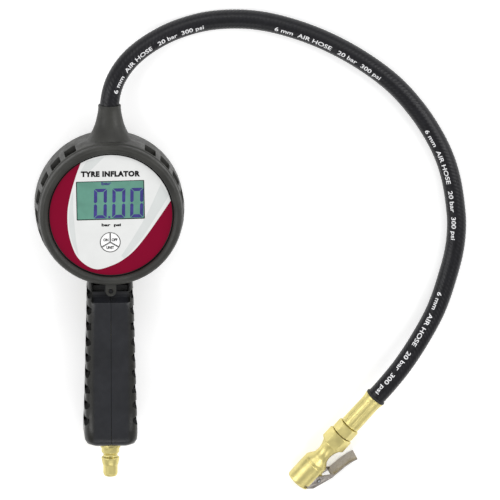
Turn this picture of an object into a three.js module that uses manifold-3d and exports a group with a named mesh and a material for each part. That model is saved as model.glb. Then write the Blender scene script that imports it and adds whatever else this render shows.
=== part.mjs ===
// Tyre inflator with a digital gauge: a hand-held valve with a gauge head, a rubber hose and a
// clip-on chuck. Millimetres. The tool lies on its back: the gauge axis is +Z, the back of the
// gauge head is z = 0, the hose leaves towards +Y and the handle runs towards -Y.

import * as THREE from 'three';
import { mergeVertices } from 'three/addons/utils/BufferGeometryUtils.js';
import Module from 'manifold-3d';

const wasm = await Module();
wasm.setup();

// ---------------------------------------------------------------- driving dimensions

const AIR_Z = 20; // height of the air passage, which runs along Y through the whole tool
const GAP = 0.3; // clearance kept between neighbouring pieces
const ROUND = 48; // sides of the large circles

// gauge head
const BOOT_R = 48.4;
const BEZEL_R = 46.8;
const BEZEL_TOP = 42;
const FACE_R = 40.6;
const LIP_Z = 38.9;
const BACK_R = 34.9;
const CASE_R = 42.2;
const CASE_WALL = 2.5;
const CASE_TOP = 38.5;
const PANEL_R = 40.2;
const PANEL_Z = [37.3, 38.5];
const LCD_SIZE = [44.3, 25.8];
const LCD_CENTRE = [-0.3, 9.8];
const LCD_TURN = THREE.MathUtils.degToRad(1);
const KEY_CENTRE = [-0.5, -18.1];
const KEY_R = 6.45;
const KEY_NAMES = ['off_key', 'on_key', 'unit_key'];
const SLOT_FIRST = 33; // degrees from the hose side to the first slot of the boot
const SLOT_PITCH = 15;
const SLOTS_PER_SIDE = 7;
const CONE_END = 69.2;
const SENSOR_Y = 12;
const CELL_R = 5.25;
const CELL_LENGTH = 44.5;
const CELL_X = 5.6;
const CELL_Z = 8.6;
const COVER = { halfX: 13, halfY: 28.6, thick: 2.2, screwY: 26.5 };

// handle
const GRIP_WALL = 3.4;
const TAB_END = -55.2;
const TAB_WIDTH = 7;
const TAB_SCREW_Y = -51.6;
const NOTCH_FIRST = -54.3;
const NOTCH_PITCH = 10.55;
const NOTCH_COUNT = 9;
const NOTCH_R = 3.1;
const BUTT_Y = -155.5;
const PIVOT = { y: -60, z: 9 };
const STEM_Y = -78;
const TUBE_R = 5.5;
const BORE_R = 3.2;

// hose and chuck
const HOSE_R = 6.35;
const FITTING_MOUTH = new THREE.Vector3(122.9, -187, 9);
const FITTING_AZIMUTH = THREE.MathUtils.degToRad(49);
const FITTING_PITCH = THREE.MathUtils.degToRad(5.6);
const FITTING_ROLL = THREE.MathUtils.degToRad(22);
const FITTING_LENGTH = 76.8;
const FERRULE_FROM = 51.9;
const COLLAR = [43.9, 51.6];
const CHUCK_END = 43.6;
const HEAD_R = 8.4;
const SOCKET_R = 4.3;
const CLIP_PIN = { radial: 8.6, along: 9.9 };

// ---------------------------------------------------------------- materials

const material = (color, roughness, metalness) =>
    new THREE.MeshStandardMaterial({ color, roughness, metalness });

const MATERIALS = {
    bootRubber: material('#4a4b48', 0.7, 0),
    gripPlastic: material('#3a3b3f', 0.6, 0),
    hoseRubber: material('#17171c', 0.5, 0),
    blackPlastic: material('#1d1d1f', 0.5, 0),
    whitePanel: material('#f2f2f2', 0.4, 0),
    keyFilm: material('#f2f2f2', 0.45, 0),
    clearPlastic: material('#c8d8d0', 0.1, 0),
    liquidCrystal: material('#68a48a', 0.3, 0),
    circuitBoard: material('#1f5a3a', 0.5, 0),
    silicone: material('#8f9294', 0.7, 0),
    brass: material('#cfc070', 0.3, 1),
    steel: material('#b8b4b6', 0.3, 1),
    zinc: material('#9a9da0', 0.5, 1),
    nitrile: material('#161616', 0.7, 0),
    bronze: material('#8f6a3a', 0.8, 1),
    cellJacket: material('#3c5a78', 0.4, 0),
};

// ---------------------------------------------------------------- geometry helpers

const object = new THREE.Group();

function signedVolume(positions, indices) {
    const corner = [new THREE.Vector3(), new THREE.Vector3(), new THREE.Vector3()];
    let volume = 0;
    for (let i = 0; i < indices.length; i += 3) {
        corner.forEach((v, k) => v.fromArray(positions, 3 * indices[i + k]));
        volume += corner[0].dot(corner[1].cross(corner[2])) / 6;
    }
    return volume;
}

// One closed solid: shared corners merged, slivers dropped, faces turned outwards.
function solid(geometry) {
    const bare = new THREE.BufferGeometry();
    bare.setAttribute('position', geometry.getAttribute('position').clone());
    if (geometry.index) bare.setIndex(geometry.index.clone());
    const merged = mergeVertices(bare, 1e-4);
    const positions = merged.getAttribute('position').array;
    const source = merged.index.array;
    const kept = [];
    for (let i = 0; i < source.length; i += 3) {
        const [a, b, c] = [source[i], source[i + 1], source[i + 2]];
        if (a !== b && b !== c && c !== a) kept.push(a, b, c);
    }
    if (signedVolume(positions, kept) < 0) kept.reverse();
    return new wasm.Manifold(new wasm.Mesh({
        numProp: 3,
        vertProperties: new Float32Array(positions),
        triVerts: new Uint32Array(kept),
    }));
}

function geometryOf(manifold) {
    const mesh = manifold.getMesh();
    const geometry = new THREE.BufferGeometry();
    geometry.setAttribute('position', new THREE.BufferAttribute(mesh.vertProperties, 3));
    geometry.setIndex(new THREE.BufferAttribute(mesh.triVerts, 1));
    geometry.computeVertexNormals();
    return geometry;
}

const join = (...pieces) => geometryOf(pieces.map(solid).reduce((a, b) => a.add(b)));
const cut = (piece, ...tools) =>
    geometryOf(tools.map(solid).reduce((rest, tool) => rest.subtract(tool), solid(piece)));

function box(x, y, z) {
    const shape = new THREE.BoxGeometry(x[1] - x[0], y[1] - y[0], z[1] - z[0]);
    return shape.translate((x[0] + x[1]) / 2, (y[0] + y[1]) / 2, (z[0] + z[1]) / 2);
}

// A body of revolution about Y from [radius, y] pairs.
function turned(profile, segments = 32) {
    return new THREE.LatheGeometry(profile.map(([r, y]) => new THREE.Vector2(r, y)), segments);
}

// The same about Z, from [radius, z] pairs, moved to (x, y).
const turnedZ = (profile, segments = 32, x = 0, y = 0) =>
    turned(profile, segments).rotateX(Math.PI / 2).translate(x, y, 0);

const closed = (profile) => [...profile, profile[0]];
const ring = (inner, outer, low, high) =>
    closed([[inner, low], [outer, low], [outer, high], [inner, high]]);
const plug = (radius, low, high) => [[0, low], [radius, low], [radius, high], [0, high]];

const rodZ = (x, y, radius, low, high, segments = 20) =>
    turnedZ(plug(radius, low, high), segments, x, y);
const rodY = (x, z, radius, low, high, segments = 20) =>
    turned(plug(radius, low, high), segments).translate(x, 0, z);
const rodX = (y, z, radius, low, high, segments = 12) =>
    turned(plug(radius, low, high), segments).rotateZ(-Math.PI / 2).translate(0, y, z);

const outline = (points) => new THREE.Shape(points.map(([x, y]) => new THREE.Vector2(x, y)));

// An outline in the X-Y plane, raised from low to high along Z.
function plate(shape, low, high, curveSegments = 12) {
    const options = { depth: high - low, bevelEnabled: false, curveSegments };
    return new THREE.ExtrudeGeometry(shape, options).translate(0, 0, low);
}

// A side view, [y, z] pairs, given the width from low to high along X.
function sidePlate(points, low, high) {
    const shape = plate(outline(points), low, high);
    return shape.applyMatrix4(new THREE.Matrix4().set(0, 0, 1, 0, 1, 0, 0, 0, 0, 1, 0, 0, 0, 0, 0, 1));
}

function polygon(radius, sides) {
    const corners = Array.from({ length: sides }, (_, i) => 2 * Math.PI * i / sides);
    return outline(corners.map((a) => [radius * Math.cos(a), radius * Math.sin(a)]));
}

// A wire or tube of the given section radius along a curve.
const wire = (path, radius, sides, steps) =>
    new THREE.ExtrudeGeometry(polygon(radius, sides), { steps, extrudePath: path });

function roundedRectangle(halfX, halfY, radius) {
    const shape = new THREE.Shape();
    shape.moveTo(-halfX + radius, -halfY);
    shape.lineTo(halfX - radius, -halfY);
    shape.absarc(halfX - radius, -halfY + radius, radius, -Math.PI / 2, 0);
    shape.lineTo(halfX, halfY - radius);
    shape.absarc(halfX - radius, halfY - radius, radius, 0, Math.PI / 2);
    shape.lineTo(-halfX + radius, halfY);
    shape.absarc(-halfX + radius, halfY - radius, radius, Math.PI / 2, Math.PI);
    shape.lineTo(-halfX, -halfY + radius);
    shape.absarc(-halfX + radius, -halfY + radius, radius, Math.PI, 1.5 * Math.PI);
    return shape;
}

function part(name, geometry, finish, parent = object) {
    const mesh = new THREE.Mesh(geometryOf(solid(geometry)), finish);
    mesh.name = name;
    parent.add(mesh);
}

// ---------------------------------------------------------------- gauge head

const bootRing = () => turnedZ(closed([
    [BACK_R + GAP, 0], [46.4, 0], [BOOT_R, 2.2], [BOOT_R, 24], [47.3, 34.5], [46.1, 36.2],
    [BEZEL_R, 37.5], [BEZEL_R - 0.7, 40.4], [44.4, BEZEL_TOP], [42.8, BEZEL_TOP], [41, 40.6],
    [FACE_R, LIP_Z], [CASE_R + GAP, LIP_Z], [CASE_R + GAP, 2.2], [BACK_R + GAP, 2.2],
]), ROUND);

// The strain relief: a trumpet of the boot's own rubber round the hose.
const bootCone = () => turned([
    [0, 38], [19.6, 38], [18.4, 41.5], [14.7, 45.7], [11.4, 51.8], [9.3, 57], [7.9, 63],
    [7.4, 66.4], [7.4, 68.6], [7.1, CONE_END], [0, CONE_END],
], 28).translate(0, 0, AIR_Z);

function bootTab() {
    const half = TAB_WIDTH / 2;
    const shape = new THREE.Shape();
    shape.moveTo(-half, -44);
    shape.lineTo(-half, TAB_END + half);
    shape.absarc(0, TAB_END + half, half, Math.PI, 2 * Math.PI);
    shape.lineTo(half, -44);
    return plate(shape, 30.9, 34.6);
}

function bootSlots() {
    const slots = [];
    for (const side of [-1, 1]) {
        for (let i = 0; i < SLOTS_PER_SIDE; i += 1) {
            const angle = 90 + side * (SLOT_FIRST + SLOT_PITCH * i);
            const slot = box([41, 52], [-4.3, 4.3], [21, 34]);
            slots.push(slot.rotateZ(THREE.MathUtils.degToRad(angle)));
        }
    }
    return slots;
}

function makeBoot() {
    const inside = turnedZ([
        [0, -1], [BACK_R + GAP, -1], [BACK_R + GAP, 2.2], [CASE_R + GAP, 2.2], [CASE_R + GAP, LIP_Z],
        [FACE_R, LIP_Z], [FACE_R, 50], [0, 50],
    ], ROUND);
    const body = cut(
        join(bootRing(), bootCone(), bootTab()),
        inside,
        rodY(0, AIR_Z, HOSE_R + GAP, 40, 75, 20),
        rodY(0, AIR_Z, TUBE_R + GAP, -55, -40),
        rodZ(0, TAB_SCREW_Y, 1.6, 25, 40, 10),
        ...bootSlots(),
    );
    part('gauge_boot', body, MATERIALS.bootRubber);
}

function makeCase() {
    const shell = turnedZ([
        [0, 0], [BACK_R, 0], [BACK_R, 2.5], [CASE_R, 2.5], [CASE_R, CASE_TOP],
        [PANEL_R + GAP, CASE_TOP], [PANEL_R + GAP, PANEL_Z[0] - 0.1],
        [CASE_R - CASE_WALL, PANEL_Z[0] - 0.1], [CASE_R - CASE_WALL, 4.5], [0, 4.5],
    ], ROUND);
    const { halfX, halfY, thick, screwY } = COVER;
    const body = cut(
        shell,
        box([-halfX - GAP, halfX + GAP], [-halfY - GAP, halfY + GAP], [-1, thick + GAP]),
        box([-11.6, 11.6], [-24.2, 24.2], [-1, 6]),
        rodZ(0, screwY, 1.3, -1, 6, 12),
        rodZ(0, -screwY, 1.3, -1, 6, 12),
        rodY(0, AIR_Z, TUBE_R + 2 * GAP, 36, 46),
        rodY(0, AIR_Z, TUBE_R + 2 * GAP, -46, -36),
    );
    part('gauge_case', body, MATERIALS.blackPlastic);
}

const lcdPlate = (grow, low, high) =>
    plate(roundedRectangle(LCD_SIZE[0] / 2 + grow, LCD_SIZE[1] / 2 + grow, 0.6), low, high, 3)
        .rotateZ(LCD_TURN)
        .translate(...LCD_CENTRE, 0);

function makeFace() {
    const panel = cut(
        rodZ(0, 0, PANEL_R, ...PANEL_Z, ROUND),
        lcdPlate(0, 30, 45),
        rodZ(...KEY_CENTRE, KEY_R + GAP, 30, 45, 24),
    );
    part('front_panel', panel, MATERIALS.whitePanel);
    part('lcd_window', lcdPlate(-GAP, 36.9, 37.9), MATERIALS.clearPlastic);
    part('lcd_module', lcdPlate(0.8, 33.7, 36.6), MATERIALS.liquidCrystal);
    part('backlight', lcdPlate(0.8, 31.5, 33.4), MATERIALS.clearPlastic);
}

// One third of the round key pad, shrunk so that neighbours keep clear of each other.
function keySector(start) {
    const span = THREE.MathUtils.degToRad(120);
    const middle = THREE.MathUtils.degToRad(start) + span / 2;
    const tip = [0.5 * Math.cos(middle), 0.5 * Math.sin(middle)];
    const edge = THREE.MathUtils.degToRad(2.2);
    const shape = new THREE.Shape();
    shape.moveTo(...tip);
    shape.absarc(0, 0, KEY_R, middle - span / 2 + edge, middle + span / 2 - edge);
    shape.lineTo(...tip);
    return plate(shape, 36.9, 38.5, 8).translate(...KEY_CENTRE, 0);
}

function makeKeys() {
    KEY_NAMES.forEach((name, i) => part(name, keySector(-30 + 120 * i), MATERIALS.keyFilm));
    part('key_mat', rodZ(...KEY_CENTRE, 7.6, 31.4, 36.2, 24), MATERIALS.silicone);
}

function makeElectronics() {
    part('circuit_board', rodZ(0, 0, 38.9, 29.5, 31.1, 40), MATERIALS.circuitBoard);
    const sensor = turnedZ([
        [0, 22], [2, 22], [2, 26.9], [6.5, 26.9], [6.5, 29.2], [0, 29.2],
    ], 24, 0, SENSOR_Y);
    part('pressure_sensor', sensor, MATERIALS.steel);
    part('sensor_seal', turnedZ(ring(2.3, 4, 26.25, 26.8), 16, 0, SENSOR_Y), MATERIALS.nitrile);
}

function makeBatteries() {
    const holder = cut(
        box([-12.8, 12.8], [-25.6, 25.6], [4.6, 12.5]),
        box([-11.5, 11.5], [-24.1, 24.1], [4, 13]),
    );
    part('battery_holder', holder, MATERIALS.blackPlastic);
    [-1, 1].forEach((side, i) => {
        const cell = turned([
            [0, -CELL_LENGTH / 2], [CELL_R, -CELL_LENGTH / 2], [CELL_R, CELL_LENGTH / 2 - 1],
            [1.9, CELL_LENGTH / 2 - 1], [1.9, CELL_LENGTH / 2], [0, CELL_LENGTH / 2],
        ], 20).rotateZ(i * Math.PI).translate(side * CELL_X, 0, CELL_Z);
        part(`battery_${i + 1}`, cell, MATERIALS.cellJacket);
    });
    for (const [name, side] of [['front_battery_contact', -1], ['rear_battery_contact', 1]]) {
        const contact = box([-10.8, 10.8], [side * 23.4 - 0.4, side * 23.4 + 0.4], [5, 12.3]);
        part(name, contact, MATERIALS.steel);
    }
}

function makeBatteryCover() {
    const { halfX, halfY, thick, screwY } = COVER;
    const cover = cut(
        plate(roundedRectangle(halfX, halfY, 1.5), 0, thick, 3),
        rodZ(0, screwY, 2.6, -1, 1.3, 16),
        rodZ(0, -screwY, 2.6, -1, 1.3, 16),
        rodZ(0, screwY, 1.3, 0, 3, 12),
        rodZ(0, -screwY, 1.3, 0, 3, 12),
    );
    part('battery_cover', cover, MATERIALS.blackPlastic);
    for (const [name, y] of [['cover_screw_1', screwY], ['cover_screw_2', -screwY]]) {
        const screw = turnedZ([[0, 0.2], [2.2, 0.2], [2.2, 1.1], [1, 1.2], [1, 4.4], [0, 4.4]], 12, 0, y);
        part(name, screw, MATERIALS.steel);
    }
}

// ---------------------------------------------------------------- valve and air path

function makeValveBody() {
    const body = join(
        rodY(0, AIR_Z, TUBE_R, -150, 38),
        rodY(0, AIR_Z, 9.4, -153.7, -144, 20),
        rodZ(0, STEM_Y, 8, 13.2, 29.5),
        rodZ(0, SENSOR_Y, 7.5, AIR_Z, 26.1),
        rodZ(0, TAB_SCREW_Y, 2.6, AIR_Z, 30.6),
        box([-10.4, 10.4], [-66, -54], [5.4, 21]),
    );
    const hollow = [
        rodY(0, AIR_Z, BORE_R, -160, 40, 16),
        rodY(0, AIR_Z, 5.9, -160, -148, 24),
        rodY(0, AIR_Z, 3.9, 27, 40, 16),
        rodZ(0, STEM_Y, 5, 17, 40),
        rodZ(0, STEM_Y, 2.3, 5, 18, 16),
        rodZ(0, SENSOR_Y, 2.3, AIR_Z, 30, 16),
        rodZ(0, TAB_SCREW_Y, 1.4, 26.5, 40, 12),
        box([-7.6, 7.6], [-70, -50], [0, 14.2]),
        rodX(PIVOT.y, PIVOT.z, 1.8, -12, 12),
    ];
    part('valve_body', cut(body, ...hollow), MATERIALS.zinc);
}

function helix(radius, low, high, turns) {
    const count = turns * 10;
    const points = Array.from({ length: count + 1 }, (_, i) => {
        const angle = 2 * Math.PI * turns * i / count;
        return new THREE.Vector3(
            radius * Math.cos(angle), radius * Math.sin(angle), low + (high - low) * i / count);
    });
    return new THREE.CatmullRomCurve3(points);
}

function makeValve() {
    const stem = [
        [0, 6.3], [1.2, 6.3], [1.5, 6.6], [1.5, 18.2], [3.9, 18.2], [3.9, 19.7], [1.5, 19.7],
        [1.5, 22.4], [0, 22.4],
    ];
    part('valve_stem', turnedZ(stem, 20, 0, STEM_Y), MATERIALS.brass);
    part('stem_seal', turnedZ(ring(1.8, 3.9, 17.1, 18.1), 16, 0, STEM_Y), MATERIALS.nitrile);
    const spring = wire(helix(3.1, 20.4, 26, 4), 0.4, 5, 44).translate(0, STEM_Y, 0);
    part('valve_spring', spring, MATERIALS.steel);
    const guide = ring(1.8, 4.6, 9.2, 12.9);
    part('stem_guide', turnedZ(guide, 16, 0, STEM_Y), MATERIALS.brass);
    const cap = [[0, 26.8], [4.7, 26.8], [4.7, 30.2], [6.3, 30.2], [6.3, 31.3], [0, 31.3]];
    part('valve_cap', turnedZ(cap, 16, 0, STEM_Y), MATERIALS.brass);
    part('cap_seal', turnedZ(ring(4.9, 6.4, 29.6, 30.1), 16, 0, STEM_Y), MATERIALS.nitrile);
}

function makeInlet() {
    const plugProfile = closed([
        [2.9, -149], [5.6, -149], [5.6, -155.7], [6.4, -155.9], [6.4, -158.1], [6.55, -158.2],
        [6.55, -159.3], [5.8, -159.6], [5.8, -162.4], [4.6, -163.8], [4.6, -165.1], [5.85, -166],
        [5.85, -166.8], [5.1, -170.8], [4.72, -171], [4.72, -176.8], [3.9, -178.5], [2.9, -178.5],
    ]);
    part('inlet_plug', turned(plugProfile, 20).translate(0, 0, AIR_Z), MATERIALS.brass);
    const washer = ring(5.8, 6.7, -155.6, -154.6);
    part('inlet_washer', turned(washer, 16).translate(0, 0, AIR_Z), MATERIALS.nitrile);
    part('inlet_filter', rodY(0, AIR_Z, 2.9, -147, -140, 16), MATERIALS.bronze);
}

function makeHoseNipple() {
    const barbs = [];
    for (let y = 44; y < 62; y += 4) {
        barbs.push([2.9, y], [3.5, y + 0.2], [2.9, y + 4]);
    }
    const profile = closed([
        [1.8, 28], [3.5, 28], [3.5, 38.3], [5.3, 38.3], [5.3, 41.5], [2.9, 41.5], ...barbs,
        [2.9, 66], [1.8, 66],
    ]);
    part('hose_nipple', turned(profile, 12).translate(0, 0, AIR_Z), MATERIALS.brass);
    const sleeve = ring(5.2, 6.2, 43.2, 66.5);
    part('hose_crimp_sleeve', turned(sleeve, 20).translate(0, 0, AIR_Z), MATERIALS.steel);
}

// ---------------------------------------------------------------- handle

// Stations along the grip: y, half width, back z, front z.
const GRIP_STATIONS = [
    [-43, 14.4, 3, 30.6], [-48, 14.6, 3, 31.2], [-54, 14.9, 4, 33.4], [-60, 15.1, 6.4, 35.2],
    [-66, 15.2, 8.2, 35.4], [-80, 15.6, 8.8, 35.2], [-100, 16.1, 9, 34.9], [-120, 16.6, 8.8, 34.9],
    [-134, 17, 7.6, 35.3], [-139.5, 17.2, 3.6, 36.3], [-144.5, 17.3, 0.6, 37.2],
    [-147.5, 17.3, 0, 37.4], [-151.5, 17, 0, 37], [-154.1, 15.6, 1.2, 35.6], [BUTT_Y, 12.8, 3.6, 33],
];

// A unit section swept through the stations and stretched to fit each of them.
function loft(stations, inset) {
    const section = roundedRectangle(1, 1, 0.4);
    const steps = stations.length - 1;
    const sweep = new THREE.ExtrudeGeometry(section, {
        depth: steps, steps, bevelEnabled: false, curveSegments: 4,
    });
    const position = sweep.getAttribute('position');
    for (let i = 0; i < position.count; i += 1) {
        const [y, halfWidth, back, front] = stations[Math.round(position.getZ(i))];
        const x = position.getX(i) * (halfWidth - inset);
        const z = (back + front) / 2 + position.getY(i) * ((front - back) / 2 - inset);
        position.setXYZ(i, x, y, z);
    }
    return sweep;
}

function gripHalfWidth(y) {
    const after = GRIP_STATIONS.findIndex((station) => station[0] <= y);
    const [a, b] = [GRIP_STATIONS[after - 1], GRIP_STATIONS[after]];
    return THREE.MathUtils.mapLinear(y, a[0], b[0], a[1], b[1]);
}

function gripCavity() {
    const inner = GRIP_STATIONS.filter(([y]) => y > -152.5).map(([y, half, back, front]) => {
        const limit = y > -61 ? 29.6 : front;
        return [y, half, back, limit];
    });
    inner[0][0] = -38;
    inner[inner.length - 1][0] = BUTT_Y + 1.6;
    return loft(inner, GRIP_WALL);
}

// The dished front of the neck, open towards the gauge head.
function neckScoop() {
    const dish = new THREE.Shape();
    dish.moveTo(-40, 28.4);
    dish.lineTo(-53, 28.4);
    dish.quadraticCurveTo(-57.5, 28.8, -59.8, 36.5);
    dish.lineTo(-59.8, 45);
    dish.lineTo(-40, 45);
    const points = dish.getPoints(5).map((p) => [p.x, p.y]);
    return sidePlate(points, -12.7, 12.7);
}

function gripNotches(side) {
    const notches = [];
    for (let i = 0; i < NOTCH_COUNT; i += 1) {
        const y = NOTCH_FIRST - NOTCH_PITCH * i;
        const x = side * (gripHalfWidth(y) + 0.6);
        notches.push(rodZ(x, y, NOTCH_R, 15.5, 40, 10));
    }
    return notches;
}

function makeGripShells() {
    const windowY = [-53.2, -44];
    const shell = cut(
        loft(GRIP_STATIONS, 0),
        gripCavity(),
        neckScoop(),
        rodZ(0, 0, BOOT_R + GAP, -5, 50, ROUND),
        box([-11.8, -4], windowY, [20, 32]),
        box([4, 11.8], windowY, [20, 32]),
        rodZ(0, TAB_SCREW_Y, 3, 20, 40, 16),
        box([-7.6, 7.6], [-139, -52], [-2, 13.5]),
        box([-11.3, 11.3], [-67, -53], [-2, 13.5]),
        rodY(0, AIR_Z, 6.9, -162, -150, 20),
        rodX(-148.5, 8.5, 1.6, -20, 20, 12),
        rodX(-148.5, 8.5, 2.9, 14.5, 20, 16),
    );
    const [seam, far] = [GAP / 2, 30];
    const span = [[-170, -30], [-10, 50]];
    part('left_grip_shell', cut(shell, box([-seam, far], ...span), ...gripNotches(-1)),
        MATERIALS.gripPlastic);
    part('right_grip_shell', cut(shell, box([-far, seam], ...span), ...gripNotches(1)),
        MATERIALS.gripPlastic);
    const screw = join(rodX(-148.5, 8.5, 1.3, -13.8, 15.2, 12), rodX(-148.5, 8.5, 2.5, 14.8, 16.1, 16));
    part('grip_screw', screw, MATERIALS.steel);
    const tabScrew = join(
        rodZ(0, TAB_SCREW_Y, 1.1, 27, 34.2, 12), rodZ(0, TAB_SCREW_Y, 1.3, 33.6, 34.5, 12));
    part('boot_tab_screw', tabScrew, MATERIALS.steel);
}

function makeTrigger() {
    const side = [
        [-54.6, 11.4], [-54.6, 6], [-58, 4.4], [-66, 4], [-128, 1.5], [-132.6, 2], [-134.4, 4],
        [-133.4, 5.8], [-90, 7.6], [-72, 9.6], [-66, 11.4],
    ];
    const hollow = [[-50, 20], [-50, 7.4], [-66, 6], [-129, 3.5], [-129, 20]];
    const lever = cut(
        sidePlate(side, -7.1, 7.1),
        sidePlate(hollow, -5.6, 5.6),
        rodX(PIVOT.y, PIVOT.z, 1.85, -12, 12),
    );
    part('trigger_lever', lever, MATERIALS.gripPlastic);
    part('trigger_pin', rodX(PIVOT.y, PIVOT.z, 1.5, -10.9, 10.9), MATERIALS.steel);
}

// ---------------------------------------------------------------- hose

// The hose lies in one open sweep: straight out of the cone, down to the surface, round to the
// right and back to the chuck, which the clip lever props a little off the surface.
const HOSE_ROUTE = [
    [0, 66.9, 20], [0.1, 70, 20], [1.1, 76.6, 19.9], [3.5, 84, 19.2], [7.5, 91.1, 18],
    [13.1, 97.9, 16.4], [21.2, 104.6, 14.2], [31.8, 110.9, 11.6], [43.6, 116, 9.4],
    [62.4, 120.9, 7.4], [81, 122.2, 6.6], [97.4, 121, 6.5], [116, 116.7, 6.5],
    [140, 107.6, 6.5], [164.4, 94, 6.5], [185.4, 77.8, 6.5], [200.4, 60.8, 6.5],
    [211, 44.6, 6.5], [218.2, 29.8, 6.5], [222.9, 14.6, 6.5], [226, -5, 6.5],
    [226.7, -17, 6.5], [225.4, -32, 6.5], [221.4, -48.6, 7], [213.4, -71.6, 9.4],
    [202.6, -91, 12.9], [190.6, -108.6, 15.8],
];

function fittingFrame() {
    const flat = Math.cos(FITTING_PITCH);
    const axis = new THREE.Vector3(
        Math.cos(FITTING_AZIMUTH) * flat, Math.sin(FITTING_AZIMUTH) * flat, Math.sin(FITTING_PITCH));
    const level = new THREE.Vector3(Math.sin(FITTING_AZIMUTH), -Math.cos(FITTING_AZIMUTH), 0);
    const up = level.clone().cross(axis);
    const lever = level.clone().multiplyScalar(Math.cos(FITTING_ROLL))
        .addScaledVector(up, -Math.sin(FITTING_ROLL));
    return { axis, lever, across: lever.clone().cross(axis) };
}

function makeHose() {
    const { axis } = fittingFrame();
    const points = HOSE_ROUTE.map((p) => new THREE.Vector3(...p));
    for (const straight of [9, 0]) {
        const along = FITTING_LENGTH + GAP + straight;
        points.push(FITTING_MOUTH.clone().addScaledVector(axis, along));
    }
    const path = new THREE.CatmullRomCurve3(points, false, 'centripetal');
    part('hose', wire(path, HOSE_R, 10, 56), MATERIALS.hoseRubber);
}

// ---------------------------------------------------------------- chuck

// In the fitting's own frame Y runs from the mouth towards the hose, X points at the clip lever.

const hexagon = (acrossCorners, low, high) =>
    turned(plug(acrossCorners / 2, low, high), 6).rotateY(Math.PI / 6);

function makeHoseFitting(parent) {
    const ferrule = closed([
        [4.2, FERRULE_FROM], [6.3, FERRULE_FROM], [6.45, 53], [6.3, 72], [6.6, 74.6], [6.95, 76],
        [6.95, FITTING_LENGTH], [4.2, FITTING_LENGTH],
    ]);
    part('hose_ferrule', turned(ferrule, 20), MATERIALS.brass, parent);
    const collar = cut(
        join(hexagon(15.4, ...COLLAR), turned(plug(3.9, COLLAR[1] - 1, 74), 20)),
        turned(plug(1.9, 40, 80), 12),
    );
    part('hose_collar', collar, MATERIALS.brass, parent);
}

function makeChuckBody(parent) {
    const outside = [
        [0, 0], [7.5, 0], [8.2, 0.6], [HEAD_R, 1.5], [HEAD_R, 16.4], [8.1, 16.7], [8.1, 17.1],
        [HEAD_R, 17.4], [8.2, 18.6], [7, 20.6], [5.5, 22.8], [4.9, 25.4], [4.9, 27.6],
        [5.4, 30.2], [6.5, 33], [7, 33.9], [7, 35], [0, 35],
    ];
    const hex = turned([[0, 34.4], [7.6, 34.4], [8.7, 35.4], [8.7, 42.6], [8, CHUCK_END],
        [0, CHUCK_END]], 6).rotateY(Math.PI / 6);
    const lug = box([5, 10.8], [6.6, 13.2], [-1.6, 1.6]);
    const hollow = [
        turned(plug(SOCKET_R, -1, 9), 20),
        turned(plug(2.3, 8, 45), 12),
        box([1.2, 12], [1.3, 3.4], [-10, 10]),
        box([4.2, 12], [-1, 18], [4.1, 10]),
        box([4.2, 12], [-1, 18], [-10, -4.1]),
        box([6.3, 12], [7.5, 12.4], [1.6, 4.4]),
        rodZ(CLIP_PIN.radial, CLIP_PIN.along, 1.2, -6, 6, 8),
    ];
    part('chuck_body', cut(join(turned(outside, 24), hex, lug), ...hollow), MATERIALS.brass, parent);
}

function makeClipLever(parent) {
    const cheek = outline([
        [5.1, 0.7], [9.4, 3.4], [14.6, 17], [14.8, 19.4], [13.2, 19], [7.6, 13.6], [5.4, 12],
    ]);
    const thumb = outline([
        [14.4, 16.6], [15, 20], [16.2, 28], [17.6, 33], [19.3, 37], [18.4, 37.4], [16.7, 33.4],
        [15.2, 28.4], [14, 20.2], [13.4, 17.2],
    ]);
    const lever = cut(
        join(
            plate(cheek, 4.35, 5.25),
            plate(cheek, -5.25, -4.35),
            plate(thumb, -5.25, 5.25),
            box([4, 8.4], [2.5, 3.1], [-4.9, 4.9]),
        ),
        turned(plug(3.95, -1, 9), 20),
        rodZ(CLIP_PIN.radial, CLIP_PIN.along, 1.25, -6, 6, 8),
    );
    part('chuck_lever', lever, MATERIALS.steel, parent);
}

function makeChuckInside(parent) {
    part('chuck_lever_pin', rodZ(CLIP_PIN.radial, CLIP_PIN.along, 1, -5.6, 5.6, 12), MATERIALS.steel,
        parent);
    const coil = helix(1.75, 2, 3.8, 3);
    const spring = wire(coil, 0.25, 5, 30).translate(CLIP_PIN.radial, CLIP_PIN.along, 0);
    part('chuck_lever_spring', spring, MATERIALS.steel, parent);
    part('chuck_seal', turned(ring(2.5, 4, 6.2, 8.7), 20), MATERIALS.nitrile, parent);
    const depressor = [[0, 5.4], [0.9, 5.4], [0.9, 9.6], [2, 9.6], [2, 12], [0, 12]];
    part('valve_depressor', turned(depressor, 16), MATERIALS.brass, parent);
}

function makeFitting() {
    const fitting = new THREE.Group();
    const { axis, lever, across } = fittingFrame();
    fitting.position.copy(FITTING_MOUTH);
    fitting.quaternion.setFromRotationMatrix(new THREE.Matrix4().makeBasis(lever, axis, across));
    object.add(fitting);
    makeHoseFitting(fitting);
    makeChuckBody(fitting);
    makeClipLever(fitting);
    makeChuckInside(fitting);
}

// ---------------------------------------------------------------- assembly

makeBoot();
makeCase();
makeFace();
makeKeys();
makeElectronics();
makeBatteries();
makeBatteryCover();
makeValveBody();
makeValve();
makeInlet();
makeHoseNipple();
makeGripShells();
makeTrigger();
makeHose();
makeFitting();

export default object;
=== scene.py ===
import math

import bmesh
import bpy
from mathutils import Matrix, Vector
from mathutils.geometry import delaunay_2d_cdt


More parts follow.
